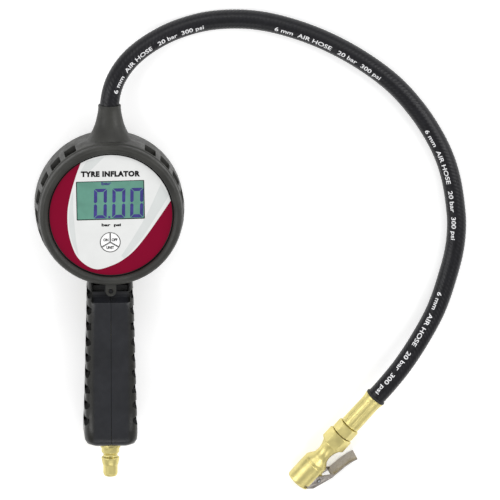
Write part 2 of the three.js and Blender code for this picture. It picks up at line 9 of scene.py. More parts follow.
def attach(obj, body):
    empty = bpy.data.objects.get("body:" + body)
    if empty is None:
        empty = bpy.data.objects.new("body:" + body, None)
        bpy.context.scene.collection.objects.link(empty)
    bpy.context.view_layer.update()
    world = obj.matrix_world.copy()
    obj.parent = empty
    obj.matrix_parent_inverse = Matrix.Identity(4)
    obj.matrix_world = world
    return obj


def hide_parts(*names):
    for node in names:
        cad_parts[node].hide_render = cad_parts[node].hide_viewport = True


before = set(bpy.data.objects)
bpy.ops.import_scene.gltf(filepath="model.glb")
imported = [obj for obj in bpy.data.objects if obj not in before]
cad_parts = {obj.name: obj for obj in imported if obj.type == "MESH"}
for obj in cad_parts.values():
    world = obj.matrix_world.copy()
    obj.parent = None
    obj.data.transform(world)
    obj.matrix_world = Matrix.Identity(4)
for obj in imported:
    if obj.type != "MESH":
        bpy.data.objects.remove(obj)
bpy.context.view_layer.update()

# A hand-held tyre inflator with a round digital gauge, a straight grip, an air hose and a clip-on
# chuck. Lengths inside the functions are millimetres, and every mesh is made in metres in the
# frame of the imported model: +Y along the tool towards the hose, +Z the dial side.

bl_info = {
    "name": "Tyre inflator with gauge",
    "version": (1, 0, 0),
    "blender": (4, 5, 0),
    "location": "View3D > Sidebar > Inflator",
    "description": "Builds the visible pieces of a tyre inflator around its packed model",
    "category": "Object",
}

MM = 0.001
TAU = 2 * math.pi
AIR_Z = 20.0  # height of the air path, which runs along Y through the whole tool
ORIGIN = Vector((0.0, 0.0, 0.0))


# ------------------------------------------------------------------ colours and sizes

def linear(hex_colour):
    """An sRGB hex colour as the linear red, green, blue and alpha that the shaders take."""
    def channel(part):
        value = int(part, 16) / 255
        return value / 12.92 if value <= 0.04045 else ((value + 0.055) / 1.055) ** 2.4
    return tuple(channel(hex_colour[i:i + 2]) for i in (1, 3, 5)) + (1.0,)


def colour(name, description, hex_colour):
    return bpy.props.FloatVectorProperty(
        name=name, description=description, default=linear(hex_colour),
        size=4, min=0.0, max=1.0, subtype="COLOR")


def length(name, description, millimetres):
    return bpy.props.FloatProperty(
        name=name, description=description, default=millimetres * MM,
        min=0.0, subtype="DISTANCE", unit="LENGTH", precision=5)


class InflatorColours(bpy.types.PropertyGroup):
    boot: colour("Boot", "Moulded rubber of the gauge boot", "#2d2d2a")
    grip: colour("Grip", "Glass-filled nylon of the grip shells", "#202125")
    # Colour of the grip's sides: partly their own browner tone, partly painted shade.
    flank_tone_and_shade: colour("Grip sides", "Sides of the grip shells", "#1a1a17")
    hose: colour("Hose", "Rubber cover of the air hose", "#0b0b10")
    ink: colour("Print", "White printing on the hose", "#f4f4f6")
    brass: colour("Brass", "Turned brass of the plug and the chuck", "#dfd28d")
    film: colour("Face", "White printed film of the dial", "#dedfde")
    band: colour("Band", "Crimson areas of the dial", "#7d0328")
    sweep: colour("Sweep", "Pale grey sweeps on the white film", "#d0d3d2")
    glass: colour("Display", "Reflective ground of the display", "#5f9080")
    digits: colour("Digits", "Switched segments of the display", "#3c397c")


class InflatorSizes(bpy.types.PropertyGroup):
    hose_diameter: length("Hose diameter", "Outside diameter of the hose", 12.56)
    rib_pitch: length("Rib pitch", "Spacing of the wrap marks along the hose", 2.5)
    rib_depth: length("Rib depth", "Depth of the wrap marks", 0.14)
    print_size: length("Print size", "Letter size of the printing on the hose", 4.2)
    slot_width: length("Slot width", "Width of a slot in the boot", 8.6)
    notch_radius: length("Notch radius", "Radius of a finger notch in the grip", 3.1)
    notch_pitch: length("Notch pitch", "Spacing of the finger notches", 10.55)
    digit_height: length("Digit height", "Height of a digit on the display", 19.6)
    slots_per_side: bpy.props.IntProperty(
        name="Slots", description="Slots in each side of the boot", default=7, min=1)
    notches_per_side: bpy.props.IntProperty(
        name="Notches", description="Notches in each side of the grip", default=9, min=1)


def sizes():
    return bpy.context.scene.inflator_sizes


def colours():
    return bpy.context.scene.inflator_colours


# ------------------------------------------------------------------ materials

# The Principled shader's inputs by the short names that shade() takes.
SHADER_INPUTS = {
    "rough": "Roughness", "metal": "Metallic", "bump": "Normal", "ior": "IOR",
    "specular": "Specular IOR Level", "coat": "Coat Weight", "coat_rough": "Coat Roughness",
    "clear": "Transmission Weight", "glow": "Emission Strength",
}


def add_node(tree, kind, inputs=None, **settings):
    """Add one node, with its settings, and its inputs as values or as sockets to link."""
    node = tree.nodes.new(kind)
    for name, value in settings.items():
        setattr(node, name, value)
    for name, value in (inputs or {}).items():
        if isinstance(value, bpy.types.NodeSocket):
            tree.links.new(value, node.inputs[name])
        else:
            node.inputs[name].default_value = value
    return node


def named_material(name, build, *given):
    """The named material, built on an empty tree the first time that it is asked for."""
    if name not in bpy.data.materials:
        material = bpy.data.materials.new(name)
        material.use_nodes = True
        material.node_tree.nodes.clear()
        build(material.node_tree, *given)
    return bpy.data.materials[name]


def surface(build):
    """Turn a function that fills a tree into one that gives the material of its own name."""
    return lambda: named_material(build.__name__, build)


def shade(tree, base, **inputs):
    """Close the tree with one Principled shader that takes these inputs."""
    given = {SHADER_INPUTS[name]: value for name, value in inputs.items()}
    shader = add_node(tree, "ShaderNodeBsdfPrincipled", {"Base Color": base, **given})
    add_node(tree, "ShaderNodeOutputMaterial", {"Surface": shader.outputs["BSDF"]})


def object_place(tree):
    return add_node(tree, "ShaderNodeTexCoord").outputs["Object"]


def speckle(tree, grain, spread=(0.0, 1.0), detail=3.0, turn=0.0, stretch=(1, 1, 1), uv=False):
    """Noise whose grains are that many millimetres across, spread between two greys."""
    source = add_node(tree, "ShaderNodeTexCoord").outputs["UV"] if uv else object_place(tree)
    mapping = add_node(tree, "ShaderNodeMapping", {
        "Vector": source, "Rotation": (0, 0, turn), "Scale": stretch})
    noise = add_node(tree, "ShaderNodeTexNoise", {
        "Vector": mapping.outputs["Vector"], "Scale": 1 / (grain * (1 if uv else MM)),
        "Detail": detail, "Roughness": 0.55})
    return add_node(tree, "ShaderNodeMapRange", {
        "Value": noise.outputs["Fac"], "From Min": 0.35, "From Max": 0.65,
        "To Min": spread[0], "To Max": spread[1]}).outputs["Result"]


def mixed(tree, factor, low, high):
    """Colour between two, each of them a hex colour, a linear colour or a socket."""
    mix = tree.nodes.new("ShaderNodeMix")
    mix.data_type = "RGBA"
    tree.links.new(factor, mix.inputs[0])
    for socket, value in ((mix.inputs[6], low), (mix.inputs[7], high)):
        if isinstance(value, bpy.types.NodeSocket):
            tree.links.new(value, socket)
        else:
            socket.default_value = linear(value) if isinstance(value, str) else value
    return mix.outputs[2]


def toned(tree, factor, body, low, high):
    """The body colour, between two strengths of it."""
    strengths = [tuple(part * strength for part in body[:3]) + (1.0,) for strength in (low, high)]
    return mixed(tree, factor, *strengths)


def relief(tree, height, depth):
    """A bump of that many millimetres between the height's 0 and 1."""
    return add_node(tree, "ShaderNodeBump", {
        "Height": height, "Distance": depth * MM, "Strength": 1.0}).outputs["Normal"]


@surface
def opal_acrylic(tree):
    # Opal acrylic, matt, lit from below like a light table: very slightly uneven.
    tone = speckle(tree, 40.0, detail=2.0)
    shade(tree, mixed(tree, tone, "#f7f7f7", "#fbfbfb"), rough=0.9, glow=0.3)


@surface
def moulded_rubber(tree):
    # Thermoplastic rubber, moulded: dull olive grey, a fine spark-eroded grain from the mould,
    # slightly paler where hands have polished it.
    patch = speckle(tree, 14.0, detail=2.0)
    shade(tree, toned(tree, patch, colours().boot, 0.78, 1.25),
          rough=speckle(tree, 5.0, (0.4, 0.54)),
          bump=relief(tree, speckle(tree, 0.9), 0.035), ior=1.5, specular=0.36)


@surface
def glass_filled_nylon(tree):
    # Nylon with glass fibre, moulded: blue-black, satin, with a leather-fine mould texture. The
    # flat front, 22 mm wide, is bluer; the sides are darker and browner, partly their own tone and
    # partly painted shade, since less light falls on them than on the front.
    across = add_node(tree, "ShaderNodeSeparateXYZ", {"Vector": object_place(tree)}).outputs["X"]
    aside = add_node(tree, "ShaderNodeMath", {0: across}, operation="ABSOLUTE").outputs[0]
    # Mask of the sides, which take the darker colour: partly painted shade.
    flank_tone_and_shade = add_node(tree, "ShaderNodeMapRange", {
        "Value": aside, "From Min": 10.4 * MM, "From Max": 12.6 * MM}).outputs["Result"]
    front = toned(tree, speckle(tree, 18.0, detail=2.0), colours().grip, 0.85, 1.15)
    shade(tree, mixed(tree, flank_tone_and_shade, front, tuple(colours().flank_tone_and_shade)),
          rough=speckle(tree, 4.0, (0.28, 0.4)),
          bump=relief(tree, speckle(tree, 0.8, detail=4.0), 0.03), ior=1.53, specular=0.34)


@surface
def shadowed_nylon(tree):
    # The same nylon inside the narrow notches, matt and near black: painted shade for the deep
    # notches, where little light reaches.
    shade(tree, mixed(tree, speckle(tree, 0.8), "#030303", "#080808"), rough=0.8, specular=0.08)


@surface
def black_oxide(tree):
    # Case-hardened steel screw, chemically blackened: near black with a dull metallic gloss.
    shade(tree, mixed(tree, speckle(tree, 0.6), "#1c1c1e", "#2c2c2f"),
          metal=0.8, rough=speckle(tree, 0.8, (0.4, 0.55)))


@surface
def black_abs(tree):
    # ABS, moulded with a polished tool: deep black with a soft gloss and faint flow marks.
    flow = speckle(tree, 6.0, detail=2.0, stretch=(1, 0.25, 1))
    shade(tree, mixed(tree, flow, "#08080a", "#101012"), rough=speckle(tree, 2.0, (0.28, 0.4)),
          bump=relief(tree, speckle(tree, 0.7), 0.01), ior=1.53, specular=0.2)


@surface
def hose_cover_rubber(tree):
    # Nitrile rubber cured under a cloth wrap: blue-black, half gloss, with the wrap's fine weave
    # pressed in; the wrap marks themselves are in the mesh. The threads are drawn coarse enough
    # to show: along the hose u is turns and v is centimetres.
    threads = add_node(tree, "ShaderNodeMapping", {
        "Vector": add_node(tree, "ShaderNodeTexCoord").outputs["UV"], "Scale": (33.0, 16.0, 1.0)})
    weave = add_node(tree, "ShaderNodeTexWave", {
        "Vector": threads.outputs["Vector"], "Scale": 1 / TAU, "Distortion": 0.4, "Detail": 1.0},
        wave_type="BANDS", bands_direction="DIAGONAL")
    shade(tree, toned(tree, speckle(tree, 3.0, detail=4.0), colours().hose, 0.8, 1.5),
          rough=speckle(tree, 1.5, (0.34, 0.46)),
          bump=relief(tree, weave.outputs["Fac"], 0.02), ior=1.52, specular=0.3)


@surface
def printing_ink(tree):
    # Transfer ink on rubber: matt white, worn thin in specks.
    shade(tree, toned(tree, speckle(tree, 0.5, detail=2.0), colours().ink, 0.78, 1.0), rough=0.6)


@surface
def turned_brass(tree):
    # Free-cutting brass, turned on a lathe and barrel-polished: warm pale yellow with a thin
    # uneven tarnish and fine rings 0.3 mm apart left by the tool; v is in centimetres.
    rings = speckle(tree, 0.03, detail=2.0, stretch=(0.02, 1.0, 1.0), uv=True)
    shade(tree, toned(tree, speckle(tree, 7.0, detail=4.0), colours().brass, 0.88, 1.05),
          metal=1.0, rough=speckle(tree, 2.0, (0.38, 0.48)), bump=relief(tree, rings, 0.01))


@surface
def brushed_steel(tree):
    # Stainless strip, stamped and brushed along its length: neutral grey with fine straight lines.
    lines = speckle(tree, 0.5, turn=math.radians(41), stretch=(1.0, 0.05, 1.0))
    shade(tree, mixed(tree, lines, "#8a847e", "#b0aaa4"), metal=1.0,
          rough=speckle(tree, 1.2, (0.3, 0.42)), bump=relief(tree, lines, 0.02))


@surface
def zinc_plate(tree):
    # Zinc-plated steel screws, springs and pins: bluish grey, fine crystalline bloom.
    shade(tree, mixed(tree, speckle(tree, 0.6, detail=4.0), "#8d9196", "#bcc0c4"),
          metal=1.0, rough=speckle(tree, 0.9, (0.28, 0.42)))


def polyester_film(tree, rgba):
    # Polyester overlay, screen printed behind: even colour, satin, a very slight orange peel.
    shade(tree, toned(tree, speckle(tree, 9.0, detail=2.0), rgba, 0.97, 1.0),
          rough=speckle(tree, 1.5, (0.5, 0.6)),
          bump=relief(tree, speckle(tree, 0.8), 0.004), specular=0.08)


def liquid_crystal(tree, body, size, low, high, rough):
    shade(tree, toned(tree, speckle(tree, size, detail=2.0), body, low, high), rough=rough,
          specular=0.2, coat=0.15, coat_rough=0.05)


@surface
def display_ground(tree):
    # Reflective liquid crystal behind acrylic: grey-green, a little mottled, under a clear gloss.
    liquid_crystal(tree, colours().glass, 11.0, 0.9, 1.08, speckle(tree, 2.0, (0.42, 0.5)))


@surface
def display_segments(tree):
    # Switched liquid crystal: dark violet blue, slightly see-through, so its depth varies.
    liquid_crystal(tree, colours().digits, 4.0, 0.85, 1.15, 0.42)


@surface
def black_ink_and_shade(tree):
    # Screen ink on polyester: near black, satin, with a faint mottle from the mesh.
    # The same ink also serves as painted shade round the display and along the gaps round the keys.
    shade(tree, mixed(tree, speckle(tree, 0.7), "#0a0a0b", "#141416"), rough=0.5, specular=0.2)


@surface
def fibreglass_board(tree):
    # Glass-epoxy board with solder mask: green, with the weave showing faintly through.
    weave = add_node(tree, "ShaderNodeTexChecker", {
        "Vector": object_place(tree), "Scale": 1 / (0.7 * MM),
        "Color1": linear("#14532f"), "Color2": linear("#1a6338")})
    shade(tree, weave.outputs["Color"], rough=0.3)


@surface
def silicone_rubber(tree):
    # Silicone, moulded: translucent grey, soft sheen.
    shade(tree, mixed(tree, speckle(tree, 3.0), "#2b2b2d", "#3a3a3c"), rough=0.55)


@surface
def nitrile_rubber_and_shade(tree):
    # Nitrile seals, moulded: matt black with a fine flash-free grain.
    # It also colours the black block in the grip's neck, which is painted shade for the windows there.
    grain = speckle(tree, 0.5)
    shade(tree, mixed(tree, grain, "#101011", "#1b1b1c"), rough=0.6,
          bump=relief(tree, grain, 0.02))


@surface
def sintered_bronze(tree):
    # Sintered bronze filter: porous balls about 0.3 mm across, drawn 0.5 mm so that they show.
    cells = add_node(tree, "ShaderNodeTexVoronoi", {
        "Vector": object_place(tree), "Scale": 1 / (0.5 * MM)}).outputs["Distance"]
    shade(tree, mixed(tree, cells, "#b98a4c", "#5c3f1e"), metal=1.0, rough=0.5,
          bump=relief(tree, cells, -0.2))


@surface
def cell_jacket(tree):
    # Shrink sleeve of a dry cell: glossy dark blue film with slight wrinkles.
    wrinkle = speckle(tree, 4.0, detail=2.0, stretch=(1, 0.2, 1))
    shade(tree, mixed(tree, wrinkle, "#1d2c52", "#263a68"), rough=0.25,
          bump=relief(tree, wrinkle, 0.03))


@surface
def light_guide(tree):
    # Acrylic light guide of the display: clear, faintly green at the edge.
    shade(tree, mixed(tree, speckle(tree, 5.0), "#cfe0d4", "#e6efe8"), rough=0.15, clear=0.7,
          ior=1.49)


# ------------------------------------------------------------------ meshes

def linked(name, mesh):
    piece = bpy.data.objects.new(name, mesh)
    bpy.context.scene.collection.objects.link(piece)
    return piece


def piece_from(name, work):
    """An object from a bmesh, which is freed."""
    mesh = bpy.data.meshes.new(name)
    work.to_mesh(mesh)
    work.free()
    return linked(name, mesh)


def new_piece(name, points, faces, uv=None):
    """A mesh object from points in millimetres, with its faces turned outwards."""
    mesh = bpy.data.meshes.new(name)
    mesh.from_pydata([Vector(p) * MM for p in points], [], faces)
    if uv:
        layer = mesh.uv_layers.new(name="UVMap")
        layer.data.foreach_set("uv", [part for face in uv for corner in face for part in corner])
    tidy_mesh(mesh)
    return linked(name, mesh)


def tidy_mesh(mesh, merge=0.002):
    work = bmesh.new()
    work.from_mesh(mesh)
    bmesh.ops.remove_doubles(work, verts=work.verts, dist=merge * MM)
    bmesh.ops.dissolve_degenerate(work, edges=work.edges, dist=merge * MM)
    bmesh.ops.recalc_face_normals(work, faces=work.faces)
    work.to_mesh(mesh)
    work.free()


def rounded(outline, radius, steps=4, closed=True):
    """A flat outline with each corner replaced by a small curve."""
    corners = [Vector(p) for p in outline]
    count = len(corners)
    result = []
    for i, corner in enumerate(corners):
        if not closed and i in (0, count - 1):
            result.append(tuple(corner))
            continue
        before, after = corners[i - 1], corners[(i + 1) % count]
        back, ahead = before - corner, after - corner
        reach = min(radius, 0.42 * back.length, 0.42 * ahead.length)
        start = corner + back.normalized() * reach
        end = corner + ahead.normalized() * reach
        for k in range(steps + 1):
            t = k / steps
            result.append(tuple(start * (1 - t) ** 2 + corner * 2 * t * (1 - t) + end * t * t))
    return result


def circle(centre, radius, sides):
    return [(centre[0] + radius * math.cos(TAU * k / sides),
             centre[1] + radius * math.sin(TAU * k / sides)) for k in range(sides)]


def quads(rings, sides, closed=False):
    """The faces between neighbouring rings that have that many points each."""
    pairs = [(i, (i + 1) % rings) for i in range(rings if closed else rings - 1)]
    return [(i * sides + k, i * sides + (k + 1) % sides, j * sides + (k + 1) % sides, j * sides + k)
            for i, j in pairs for k in range(sides)]


def quad_uv(travelled, sides):
    """Their corners' places: u is turns round the ring, v is centimetres travelled."""
    return [((k / sides, v0), ((k + 1) / sides, v0), ((k + 1) / sides, v1), (k / sides, v1))
            for v0, v1 in zip(travelled, travelled[1:]) for k in range(sides)]


def turned(name, profile, sides=96, axis="Y", closed=True):
    """A profile of (radius, place along the axis) turned about Y or Z."""
    points, travelled = [], [0.0]
    for i, (radius, along) in enumerate(profile):
        points += [(x, along, other) if axis == "Y" else (x, other, along)
                   for x, other in circle((0, 0), radius, sides)]
        step = math.dist(profile[i], profile[(i + 1) % len(profile)])
        travelled.append(travelled[-1] + step / 10)
    if not closed:
        travelled.pop()
    return new_piece(name, points, quads(len(profile), sides, closed), quad_uv(travelled, sides))


def solid_turned(name, profile, sides=96, axis="Y"):
    """A solid of revolution: the profile starts and ends on the axis."""
    return turned(name, profile, sides, axis, closed=False)


def lofted(name, rings):
    """A skin over rings of equally many points, closed at both ends."""
    count = len(rings[0])
    last = (len(rings) - 1) * count
    faces = quads(len(rings), count) + [
        tuple(range(count)), tuple(last + k for k in reversed(range(count)))]
    return new_piece(name, [p for one in rings for p in one], faces)


def extruded(name, outline, low, high, axis="Z"):
    """A flat outline given thickness along X, Y or Z."""
    def point(a, b, c):
        return {"X": (c, a, b), "Y": (a, c, b), "Z": (a, b, c)}[axis]
    rings = [[point(a, b, level) for a, b in outline] for level in (low, high)]
    return lofted(name, rings)


def block(name, x, y, z):
    return extruded(name, [(x[0], y[0]), (x[1], y[0]), (x[1], y[1]), (x[0], y[1])], *z)


def rod(name, radius, low, high, at, axis="Z", sides=48):
    """A round bar along X, Y or Z; at is its place in the other two directions."""
    return extruded(name, circle(at, radius, sides), low, high, axis)


def evaluated_mesh(piece):
    depsgraph = bpy.context.evaluated_depsgraph_get()
    return bpy.data.meshes.new_from_object(piece.evaluated_get(depsgraph))


def settle(piece):
    """Make the modifiers' result the piece's own mesh, and drop the modifiers."""
    mesh = evaluated_mesh(piece)
    piece.modifiers.clear()
    old = piece.data
    piece.data = mesh
    bpy.data.meshes.remove(old)
    return piece


def discard(*pieces):
    for piece in pieces:
        mesh = piece.data
        bpy.data.objects.remove(piece)
        bpy.data.meshes.remove(mesh)


def combine(piece, *others, operation="DIFFERENCE"):
    """Cut the others out of the piece, or join them to it, one after another."""
    for other in others:
        modifier = piece.modifiers.new("combine", "BOOLEAN")
        modifier.object = other
        modifier.operation = operation
        modifier.solver = "EXACT"
        settle(piece)
    discard(*others)
    return piece


def soften(piece, width, segments=2, angle=40):
    """Round the edges sharper than the angle by that many millimetres."""
    tidy_mesh(piece.data)
    modifier = piece.modifiers.new("soften", "BEVEL")
    modifier.width = width * MM
    modifier.segments = segments
    modifier.limit_method = "ANGLE"
    modifier.angle_limit = math.radians(angle)
    modifier.use_clamp_overlap = True
    settle(piece)
    return piece


def finish(piece, body, slot, material, *nodes, angle=32, outward=True):
    """Give the piece its surface, and say what it rides on and which nodes it stands for."""
    mesh = piece.data
    if outward:
        tidy_mesh(mesh)
    mesh.materials.clear()
    mesh.materials.append(material)
    mesh.polygons.foreach_set("material_index", [0] * len(mesh.polygons))
    smooth(mesh, angle)
    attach(piece, body)
    if nodes:
        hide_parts(*nodes)
    return piece


def smooth(mesh, angle):
    mesh.polygons.foreach_set("use_smooth", [True] * len(mesh.polygons))
    mesh.set_sharp_from_angle(angle=math.radians(angle))


def paint_faces(piece, material, chosen):
    """Give a second material to the faces whose middle, in millimetres, is chosen."""
    mesh = piece.data
    mesh.materials.append(material)
    number = len(mesh.materials) - 1
    for face in mesh.polygons:
        if chosen(face.center / MM):
            face.material_index = number


def remade_node(node, name, width, segments=2, angle=40):
    """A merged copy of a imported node's mesh with its edges rounded."""
    piece = linked(name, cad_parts[node].data.copy())
    work = bmesh.new()
    work.from_mesh(piece.data)
    bmesh.ops.remove_doubles(work, verts=work.verts, dist=0.004 * MM)
    bmesh.ops.dissolve_limit(work, angle_limit=math.radians(1.5), verts=work.verts, edges=work.edges)
    bmesh.ops.recalc_face_normals(work, faces=work.faces)
    work.to_mesh(piece.data)
    work.free()
    if width:
        soften(piece, width, segments, angle)
    return piece


# ------------------------------------------------------------------ repeated cuts

def repeated_cut_tree():
    """A node group that cuts one shape out of a body again and again, in a row or round Z."""
    name = "Repeated cut"
    if name in bpy.data.node_groups:
        return bpy.data.node_groups[name]
    tree = bpy.data.node_groups.new(name, "GeometryNodeTree")
    for label, kind in (
            ("Body", "NodeSocketGeometry"), ("Cutter", "NodeSocketObject"),
            ("Count", "NodeSocketInt"), ("Start", "NodeSocketVector"),
            ("Step", "NodeSocketVector"), ("First turn", "NodeSocketFloat"),
            ("Turn step", "NodeSocketFloat"), ("Finish", "NodeSocketMaterial")):
        tree.interface.new_socket(label, in_out="INPUT", socket_type=kind)
    tree.interface.new_socket("Body", in_out="OUTPUT", socket_type="NodeSocketGeometry")
    given = add_node(tree, "NodeGroupInput").outputs
    index = add_node(tree, "GeometryNodeInputIndex").outputs[0]
    turn = add_node(tree, "ShaderNodeMath", {0: index, 1: given["Turn step"], 2: given["First turn"]},
                    operation="MULTIPLY_ADD").outputs[0]
    arm = add_node(tree, "ShaderNodeVectorRotate", {"Vector": given["Start"], "Angle": turn},
                   rotation_type="Z_AXIS").outputs[0]
    shift = add_node(tree, "ShaderNodeVectorMath", {0: given["Step"], "Scale": index},
                     operation="SCALE").outputs[0]
    place = add_node(tree, "ShaderNodeVectorMath", {0: arm, 1: shift}, operation="ADD").outputs[0]
    row = add_node(tree, "GeometryNodeMeshLine", {"Count": given["Count"], "Offset": (0, 0, 0)})
    row = add_node(tree, "GeometryNodeSetPosition",
                   {"Geometry": row.outputs["Mesh"], "Position": place})
    shape = add_node(tree, "GeometryNodeObjectInfo", {"Object": given["Cutter"]})
    spin = add_node(tree, "ShaderNodeCombineXYZ", {"Z": turn}).outputs[0]
    copies = add_node(tree, "GeometryNodeInstanceOnPoints", {
        "Points": row.outputs["Geometry"], "Instance": shape.outputs["Geometry"],
        "Rotation": spin})
    copies = add_node(tree, "GeometryNodeRealizeInstances",
                      {"Geometry": copies.outputs["Instances"]})
    body = add_node(tree, "GeometryNodeMeshBoolean", {
        "Mesh 1": given["Body"], "Mesh 2": copies.outputs["Geometry"]},
        operation="DIFFERENCE", solver="EXACT")
    body = add_node(tree, "GeometryNodeRealizeInstances", {"Geometry": body.outputs["Mesh"]})
    body = add_node(tree, "GeometryNodeSetMaterial", {
        "Geometry": body.outputs["Geometry"], "Material": given["Finish"]})
    add_node(tree, "NodeGroupOutput", {"Body": body.outputs["Geometry"]})
    return tree


def cut_repeatedly(piece, cutter, material, **values):
    """Cut the cutter out of the piece count times; lengths are millimetres, turns radians."""
    tree = repeated_cut_tree()
    modifier = piece.modifiers.new("repeated cut", "NODES")
    modifier.node_group = tree
    settings = {"Count": 1, "Start": ORIGIN, "Step": ORIGIN, "First turn": 0.0, "Turn step": 0.0,
                **values, "Cutter": cutter, "Finish": material}
    for socket in tree.interface.items_tree:
        if socket.in_out == "INPUT" and socket.name in settings:
            value = settings[socket.name]
            if socket.name in ("Start", "Step"):
                value = [MM * part for part in value]
            modifier[socket.identifier] = value
    settle(piece)
    discard(cutter)
    return piece


# ------------------------------------------------------------------ stage

def make_stage():
    scene = bpy.context.scene
    scene.view_settings.view_transform = "Standard"
    world = bpy.data.worlds.new("studio")
    scene.world = world
    world.use_nodes = True
    sky = world.node_tree.nodes["Background"].inputs
    sky["Color"].default_value = (1.0, 1.0, 1.0, 1.0)
    sky["Strength"].default_value = 0.5

    floor = extruded("studio_floor", [(-1500, -1500), (1700, -1500), (1700, 1500), (-1500, 1500)],
                     -20, 0)
    floor.data.materials.append(opal_acrylic())

    # Soft boxes all round, well away from straight above, so that flat dark faces stay dark.
    for name, place, size, watts in (
            ("soft_box_left", (-1.5, 0.1, 1.3), (0.8, 1.6), 14.5),
            ("soft_box_right", (1.7, 0.5, 1.3), (0.8, 1.6), 19.0),
            ("soft_box_far", (0.1, 1.9, 1.5), (2.0, 0.8), 14.5),
            ("soft_box_near", (0.1, -1.9, 1.6), (2.0, 0.6), 9.5)):
        data = bpy.data.lights.new(name, "AREA")
        data.shape = "RECTANGLE"
        data.size, data.size_y = size
        data.energy = watts
        lamp = bpy.data.objects.new(name, data)
        lamp.location = place
        lamp.rotation_euler = (Vector((0.05, 0.0, 0.0)) - Vector(place)).to_track_quat(
            "-Z", "Y").to_euler()
        scene.collection.objects.link(lamp)

    # The view is almost straight down on the dial, from 13 degrees towards the hose end.
    target = Vector((92.2, -33.2, 0.0)) * MM
    towards = Vector((-0.05, 0.225, 0.974)).normalized()
    distance, width = 8.0, 0.326
    data = bpy.data.cameras.new("camera")
    data.sensor_width = 36.0
    data.lens = data.sensor_width * distance / width
    data.clip_end = 20.0
    camera = bpy.data.objects.new("camera", data)
    right = Vector((0, 1, 0)).cross(towards).normalized()
    up = towards.cross(right)
    turn = Matrix((right, up, towards)).transposed()
    camera.matrix_world = Matrix.Translation(target + towards * distance) @ turn.to_4x4()
    scene.collection.objects.link(camera)
    scene.camera = camera


# ------------------------------------------------------------------ hose

HOSE_LENGTH = 0.45925  # metres, from inside the cone to inside the ferrule
FITTING_MOUTH = Vector((122.9, -187.0, 9.0))
FITTING_LEVER = Vector((0.72374, -0.5807, -0.37282))
FITTING_AXIS = Vector((0.65293, 0.75111, 0.09758))
FITTING_ACROSS = Vector((0.22336, -0.31405, 0.92276))
FITTING_LENGTH = 77.1  # from the chuck's mouth to the end of the hose
HOSE_ROUTE = [
    (0, 66.9, 20), (0.1, 70, 20), (1.1, 76.6, 19.9), (3.5, 84, 19.2), (7.5, 91.1, 18),
    (13.1, 97.9, 16.4), (21.2, 104.6, 14.2), (31.8, 110.9, 11.6), (43.6, 116, 9.4),
    (62.4, 120.9, 7.4), (81, 122.2, 6.6), (97.4, 121, 6.5), (116, 116.7, 6.5),
    (140, 107.6, 6.5), (164.4, 94, 6.5), (185.4, 77.8, 6.5), (200.4, 60.8, 6.5),
    (211, 44.6, 6.5), (218.2, 29.8, 6.5), (222.9, 14.6, 6.5), (226, -5, 6.5),
    (226.7, -17, 6.5), (225.4, -32, 6.5), (221.4, -48.6, 7), (213.4, -71.6, 9.4),
    (202.6, -91, 12.9), (190.6, -108.6, 15.8),
]


def hose_points(spacing=0.5):
    """Points every half millimetre on a centripetal Catmull-Rom curve through the route."""
    knots = [Vector(p) for p in HOSE_ROUTE]
    for straight in (9, 0):
        knots.append(FITTING_MOUTH + FITTING_AXIS * (FITTING_LENGTH + straight))
    padded = [knots[0] * 2 - knots[1], *knots, knots[-1] * 2 - knots[-2]]
    dense = []
    for a, b, c, d in zip(padded, padded[1:], padded[2:], padded[3:]):
        gaps = [max(math.sqrt((q - p).length), 1e-4) for p, q in ((a, b), (b, c), (c, d))]
        ab, bc, cd = gaps
        start = ((b - a) / ab - (c - a) / (ab + bc) + (c - b) / bc) * bc
        end = ((c - b) / bc - (d - b) / (bc + cd) + (d - c) / cd) * bc
        for k in range(40):
            t = k / 40
            dense.append(b * (2 * t ** 3 - 3 * t ** 2 + 1) + start * (t ** 3 - 2 * t ** 2 + t)
                         + c * (3 * t ** 2 - 2 * t ** 3) + end * (t ** 3 - t ** 2))
    dense.append(knots[-1])
    total = sum((q - p).length for p, q in zip(dense, dense[1:]))
    count = round(total / spacing)
    points, travelled, goal = [dense[0]], 0.0, total / count
    for p, q in zip(dense, dense[1:]):
        step = (q - p).length
        while len(points) < count and travelled + step >= goal * len(points):
            points.append(p.lerp(q, (goal * len(points) - travelled) / step))
        travelled += step
    points.append(dense[-1])
    return points


def hose_frames(points):
    """For each point, its outward and upward directions; the hose turns clockwise from above."""
    frames = []
    for i in range(len(points)):
        tangent = (points[min(i + 1, len(points) - 1)] - points[max(i - 1, 0)]).normalized()
        outward = Vector((0, 0, 1)).cross(tangent).normalized()
        frames.append((outward, tangent.cross(outward)))
    return frames


def make_hose():
    size = sizes()
    radius = size.hose_diameter / MM / 2
    pitch, depth = size.rib_pitch / MM, size.rib_depth / MM
    sides, starts = 66, 11
    points = hose_points()
    frames = hose_frames(points)
    step = HOSE_LENGTH / MM / (len(points) - 1)
    skin = []
    for i, (centre, (outward, upward)) in enumerate(zip(points, frames)):
        for k in range(sides):
            turn = TAU * k / sides
            wave = 0.5 + 0.5 * math.cos(TAU * i * step / pitch - starts * turn)
            reach = radius - depth * (1 - wave ** 0.7)
            skin.append(centre + (upward * math.cos(turn) + outward * math.sin(turn)) * reach)
    faces = quads(len(points), sides)
    uv = quad_uv([i * step / 10 for i in range(len(points))], sides)
    for first in (0, (len(points) - 1) * sides):
        faces.append(tuple(range(first, first + sides)))
        uv.append(((0, 0),) * sides)
    hose = new_piece("air_hose", skin, faces, uv)
    finish(hose, "inflator", "hose_rubber", hose_cover_rubber(), "hose", angle=60, outward=False)
    return hose, points, frames


